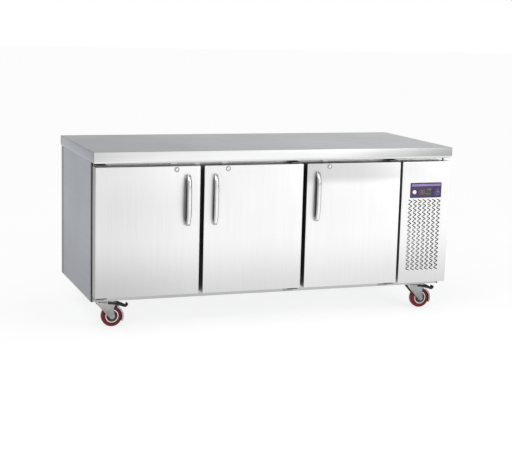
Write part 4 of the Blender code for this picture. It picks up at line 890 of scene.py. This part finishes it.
# ---------------- casters
def make_caster(place):
    plate_node, fork_node, wheel_node = f"caster_plate_{place}", f"caster_fork_{place}", f"wheel_{place}"
    fork_body, wheel_body = BODY_OF[fork_node], BODY_OF[wheel_node]
    swivel = Vector(joint_of(fork_body)["pos_m"])
    axle = Vector(joint_of(wheel_body)["pos_m"])
    low, high = node_box(plate_node)
    thick = 0.003
    bm = new()
    ring_loft(bm, (low.x, low.y, high.x, high.y), [(0.0005, 0.0), (0.0, 0.0005), (0.0, thick)],
              lambda across, up, depth: Vector((across, up, high.z - depth)), 0.008, 4)
    race = [(0.0, high.z - thick / 2), (0.026, high.z - thick), (0.028, high.z - thick - 0.001),
            (0.028, low.z + 0.0025), (0.0255, low.z), (0.0, low.z)]
    turned(bm, [(radius, height - high.z) for radius, height in race], (swivel.x, swivel.y, high.z),
           "Z", 40)
    add(f"caster_top_{place}", bm, CASTER_PLATE_SHADE, "cabinet", plate_node, (plate_node,), 30)
    heads = [(x, y, high.z - thick) for x in (low.x + 0.012, high.x - 0.012)
             for y in (low.y + 0.011, high.y - 0.011)]
    bm = new()
    for spot in heads:
        turned(bm, [(0.0, 0.0), (0.0062, 0.0), (0.0062, -0.0042), (0.0056, -0.0048), (0.0, -0.0048)],
               spot, "Z", 6)
    add(f"caster_bolts_{place}", bm, CASTER_PLATE_SHADE, "cabinet", plate_node, (), 20)

    low, high = node_box(fork_node)
    slot_half = 0.019
    leg = 0.003
    bm = new()
    lobe = 0.0130
    outline = [(swivel.x - 0.034, high.z), (swivel.x - 0.0335, high.z - 0.010),
               *arc((axle.x, axle.z), lobe, 212, 352, 18),
               (swivel.x + 0.0440, high.z - 0.034), (swivel.x + 0.0470, high.z - 0.022),
               (swivel.x + 0.0550, high.z - 0.015), (swivel.x + 0.0575, high.z - 0.010),
               (swivel.x + 0.0575, high.z - 0.002), (swivel.x + 0.0560, high.z)]
    for sign in (-1, 1):
        inner = swivel.y + sign * slot_half
        outer = inner + sign * leg
        plate_xz(bm, outline, min(inner, outer), max(inner, outer), 0.0006)
    rounded_box(bm, (swivel.x - 0.0338, swivel.y - slot_half - 0.001, high.z - leg),
                (swivel.x + 0.0355, swivel.y + slot_half + 0.001, high.z), 0.0006, 1)
    turned(bm, [(0.0, 0.0), (0.025, 0.0), (0.025, -0.004), (0.021, -0.008), (0.0, -0.008)],
           (swivel.x, swivel.y, high.z - 0.001), "Z", 32)
    add(f"caster_legs_{place}", bm, ZINC, fork_body, fork_node, (fork_node,), 30)
    reach = high.y - swivel.y
    bm = new()
    rod(bm, 0.0040, reach, -reach, axle, "Y")
    for sign in (-1, 1):
        base, tip = sign * (slot_half + leg), sign * reach
        turned(bm, [(0.0, base), (0.0078, base), (0.0078, tip - sign * 0.0006), (0.0070, tip), (0.0, tip)],
               axle, "Y", 6)
    add(f"axle_bolt_{place}", bm, ZINC, fork_body, fork_node, (), 20)

    make_wheel(place, axle, wheel_body, wheel_node)
    if place in BRAKED:
        make_brake(place, axle, fork_body, fork_node, slot_half)


TYRE_DEPTH = 0.0190


def make_wheel(place, axle, body, node):
    low, high = node_box(node)
    radius = (high.z - low.z) / 2
    half, hub = 0.016, (high.y - low.y) / 2
    bm = new()
    side = [(radius - TYRE_DEPTH, half * 0.80), (radius - TYRE_DEPTH + 0.002, half * 0.90),
            (radius - 0.0100, half), (radius - 0.0050, half),
            (radius - 0.0018, half * 0.86), (radius - 0.0003, half * 0.60), (radius, half * 0.25)]
    tyre = side + [(r, -h) for r, h in reversed(side)]
    turned(bm, tyre, axle, "Y", 56, True)
    add(f"wheel_tyre_{place}", bm, TREAD, body, node, (node,), 40)
    bm = new()
    rim = radius - TYRE_DEPTH - 0.0001
    side = [(rim - 0.0045, half * 0.55), (rim - 0.0035, half * 0.86), (rim, half * 0.86)]
    turned(bm, side + [(r, -h) for r, h in reversed(side)], axle, "Y", 48, True)
    add(f"wheel_rim_{place}", bm, RIM_STEEL, body, node, (), 30)
    bm = new()
    bore = 0.0046
    side = [(bore, hub), (0.0125, hub), (0.0140, hub - 0.0015), (0.0148, half * 0.50),
            (0.0200, half * 0.34), (0.0225, half * 0.46), (rim - 0.0046, half * 0.55)]
    turned(bm, side + [(r, -h) for r, h in reversed(side)], axle, "Y", 40, True)
    add(f"wheel_hub_{place}", bm, HUB_DARK, body, node, (), 30)
    bm = new()
    for sign in (-1, 1):
        plane = sign * (hub + 0.0004)
        turned(bm, [(bore, plane - sign * 0.0020), (bore, plane), (0.0115, plane),
                    (0.0120, plane - sign * 0.0020)], axle, "Y", 24, True)
    add(f"wheel_cap_{place}", bm, ZINC, body, node, (), 30)


def make_brake(place, axle, fork_body, fork_node, slot_half):
    """The pedal with its arms beside the wheel, its pin, and the fork's guard round the tread."""
    node = f"brake_pedal_{place}"
    body = BODY_OF[node]
    pivot = Vector(joint_of(body)["pos_m"])
    low, high = node_box(node)
    wide = high.y - low.y

    def beside_pivot(points):
        return [(pivot.x + point[0], pivot.z + point[1]) for point in points]

    line = smooth_path([(0.0, 0.0020, 0), (0.016, 0.0010, 0), (0.030, -0.0040, 0), (0.046, -0.0120, 0),
                        (0.056, -0.0165, 0), (0.0605, -0.0150, 0), (0.0620, -0.0050, 0)], 4)
    bm = new()
    bent_strip(bm, beside_pivot(line), wide - 0.002, 0.0055, pivot.y, 0.0012, 8)
    rod(bm, 0.0050, wide / 2 - 0.001, -wide / 2 + 0.001, pivot, "Y", 24)
    for sign in (-1, 1):
        side = pivot.y + sign * (wide / 2 - 0.0022)
        flange = [(0.004, 0.0025), (0.016, 0.0015), (0.030, -0.0030), (0.046, -0.0110), (0.057, -0.0160),
                  (0.056, -0.0235), (0.040, -0.0205), (0.024, -0.0135), (0.004, -0.0080)]
        plate_xz(bm, beside_pivot(flange), side - 0.0011, side + 0.0011, 0.0004)
    for sign in (-1, 1):
        side = pivot.y + sign * (slot_half + 0.0044)
        yoke = [(-0.033, 0.0050), (-0.020, 0.0060), (0.004, 0.0050), (0.022, 0.0000),
                (0.030, -0.0040), (0.030, -0.0140), (0.016, -0.0120), (0.000, -0.0075),
                (-0.016, -0.0035), (-0.033, -0.0030)]
        plate_xz(bm, beside_pivot(yoke), side - 0.0010, side + 0.0010, 0.0004)
        rounded_box(bm, (pivot.x + 0.0140, min(side, side - sign * 0.0100), pivot.z - 0.0060),
                    (pivot.x + 0.0170, max(side, side - sign * 0.0100), pivot.z - 0.0025), 0.0005, 1)
    rounded_box(bm, (pivot.x + 0.0105, pivot.y - wide / 3, pivot.z - 0.0135),
                (pivot.x + 0.0175, pivot.y + wide / 3, pivot.z - 0.0010), 0.0008, 1)
    add(f"pedal_lever_{place}", bm, PEDAL_BLACK, body, node, (node,), 40)
    bm = new()
    rod(bm, 0.0025, slot_half + 0.0028, -slot_half - 0.0028, pivot, "Y")
    add(f"pedal_pin_{place}", bm, ZINC, fork_body, fork_node)
    bm = new()
    inner, outer, low_end, back = 0.0470, 0.0548, -28, 0.0016
    guard = arc((axle.x, axle.z), outer - back / 2, 24, low_end, 12)
    bent_strip(bm, guard, 2 * slot_half + 0.004, back, axle.y)
    add(f"guard_back_{place}", bm, GUARD_STEEL, fork_body, fork_node, (), 30)
    bm = new()
    for sign in (-1, 1):
        side = axle.y + sign * (slot_half + 0.0015)
        outline = [*arc((axle.x, axle.z), outer, 62, low_end, 14),
                   *arc((axle.x, axle.z), inner, low_end, 62, 14)]
        plate_xz(bm, outline, side - 0.0010, side + 0.0010, 0.0004)
    add(f"wheel_guard_{place}", bm, GUARD_STEEL, fork_body, fork_node, (), 30)


make_worktop()
for number in DOORS:
    make_door(number)
    make_shelf(number)
make_control_panel()
make_controller()
make_machine_details()
make_screws()
for place in CASTERS:
    make_caster(place)


# ---------------- stage
FLOOR_LIFT = 0.73
SKY_FRONT_BACK = (1.0, 0.66)
SKY_LEFT_RIGHT = (0.80, 1.0)
SKY_LOW_HIGH = (1.0, 0.90)
SKY_FAR_RIGHT = (1.0, 0.30)
KEY_WATTS, FILL_WATTS = 30, 20
EYE = (-2.10257, -5.73817, 1.4657)
YAW, PITCH, ROLL = 0.35272, 0.17457, 0.02621
LENS, SENSOR_WIDTH = 86.8992, 36.0


def make_stage():
    floor = bpy.data.meshes.new("floor")
    reach = 40.0
    floor.from_pydata([(-reach, -reach, 0), (reach, -reach, 0), (reach, reach, 0), (-reach, reach, 0)], [],
                      [(0, 1, 2, 3)])
    piece = bpy.data.objects.new("floor", floor)
    bpy.context.scene.collection.objects.link(piece)
    paper = finish("floor_paper", (grey(0.36), grey(0.37)), (0.90, 0.95), 0.0, (4, 4, 4), 0.0,
                   cloud_strength=0.004,
                   extra={**glow((1.0, 1.0, 1.0), FLOOR_LIFT), "Specular IOR Level": 0.0})
    floor.materials.append(paper)

    world = bpy.data.worlds.new("studio")
    bpy.context.scene.world = world
    world.use_nodes = True
    tree = world.node_tree
    link = tree.links.new
    sky = tree.nodes["Background"]
    sky.inputs["Color"].default_value = (1.0, 1.0, 1.0, 1.0)
    place = tree.nodes.new("ShaderNodeTexCoord")
    split = tree.nodes.new("ShaderNodeSeparateXYZ")
    link(place.outputs["Generated"], split.inputs["Vector"])

    def ramp(axis, start, end, low, high):
        return map_range(tree, split.outputs[axis], start, end, low, high, "SMOOTHSTEP")

    def times(first, second):
        node = tree.nodes.new("ShaderNodeMath")
        node.operation = "MULTIPLY"
        link(first, node.inputs[0])
        link(second, node.inputs[1])
        return node.outputs["Value"]

    strength = times(times(ramp("Y", -0.3, 0.6, *SKY_FRONT_BACK), ramp("X", -0.3, 0.6, *SKY_LEFT_RIGHT)),
                     times(ramp("Z", 0.0, 0.5, *SKY_LOW_HIGH), ramp("X", 0.60, 1.0, *SKY_FAR_RIGHT)))
    seen = tree.nodes.new("ShaderNodeLightPath")
    pick = tree.nodes.new("ShaderNodeMix")
    link(seen.outputs["Is Camera Ray"], pick.inputs["Factor"])
    link(strength, pick.inputs["A"])
    pick.inputs["B"].default_value = 1.0
    link(pick.outputs["Result"], sky.inputs["Strength"])

    def soft_light(name, place, aim, size, power):
        light = bpy.data.lights.new(name, "AREA")
        light.shape = "RECTANGLE"
        light.size, light.size_y = size
        light.energy = power
        lamp = bpy.data.objects.new(name, light)
        lamp.location = place
        lamp.rotation_euler = (Vector(aim) - Vector(place)).to_track_quat("-Z", "Y").to_euler()
        bpy.context.scene.collection.objects.link(lamp)

    soft_light("key", (-2.6, -3.2, 3.4), (0.0, -0.2, 0.4), (2.4, 1.6), KEY_WATTS)
    soft_light("fill", (3.0, -3.6, 2.2), (0.3, -0.2, 0.4), (2.0, 2.0), FILL_WATTS)

    view = bpy.data.cameras.new("camera")
    view.sensor_width = SENSOR_WIDTH
    view.lens = LENS
    view.clip_end = 200.0
    eye = bpy.data.objects.new("camera", view)
    ahead = Vector((math.sin(YAW) * math.cos(PITCH), math.cos(YAW) * math.cos(PITCH), -math.sin(PITCH)))
    right = Vector((math.cos(YAW), -math.sin(YAW), 0.0))
    up = right.cross(ahead)
    rolled_right = right * math.cos(ROLL) + up * math.sin(ROLL)
    rolled_up = up * math.cos(ROLL) - right * math.sin(ROLL)
    eye.matrix_world = Matrix.Translation(EYE) @ Matrix(
        (rolled_right, rolled_up, -ahead)).transposed().to_4x4()
    bpy.context.scene.collection.objects.link(eye)
    bpy.context.scene.camera = eye
    bpy.context.scene.view_settings.view_transform = "Standard"


make_stage()
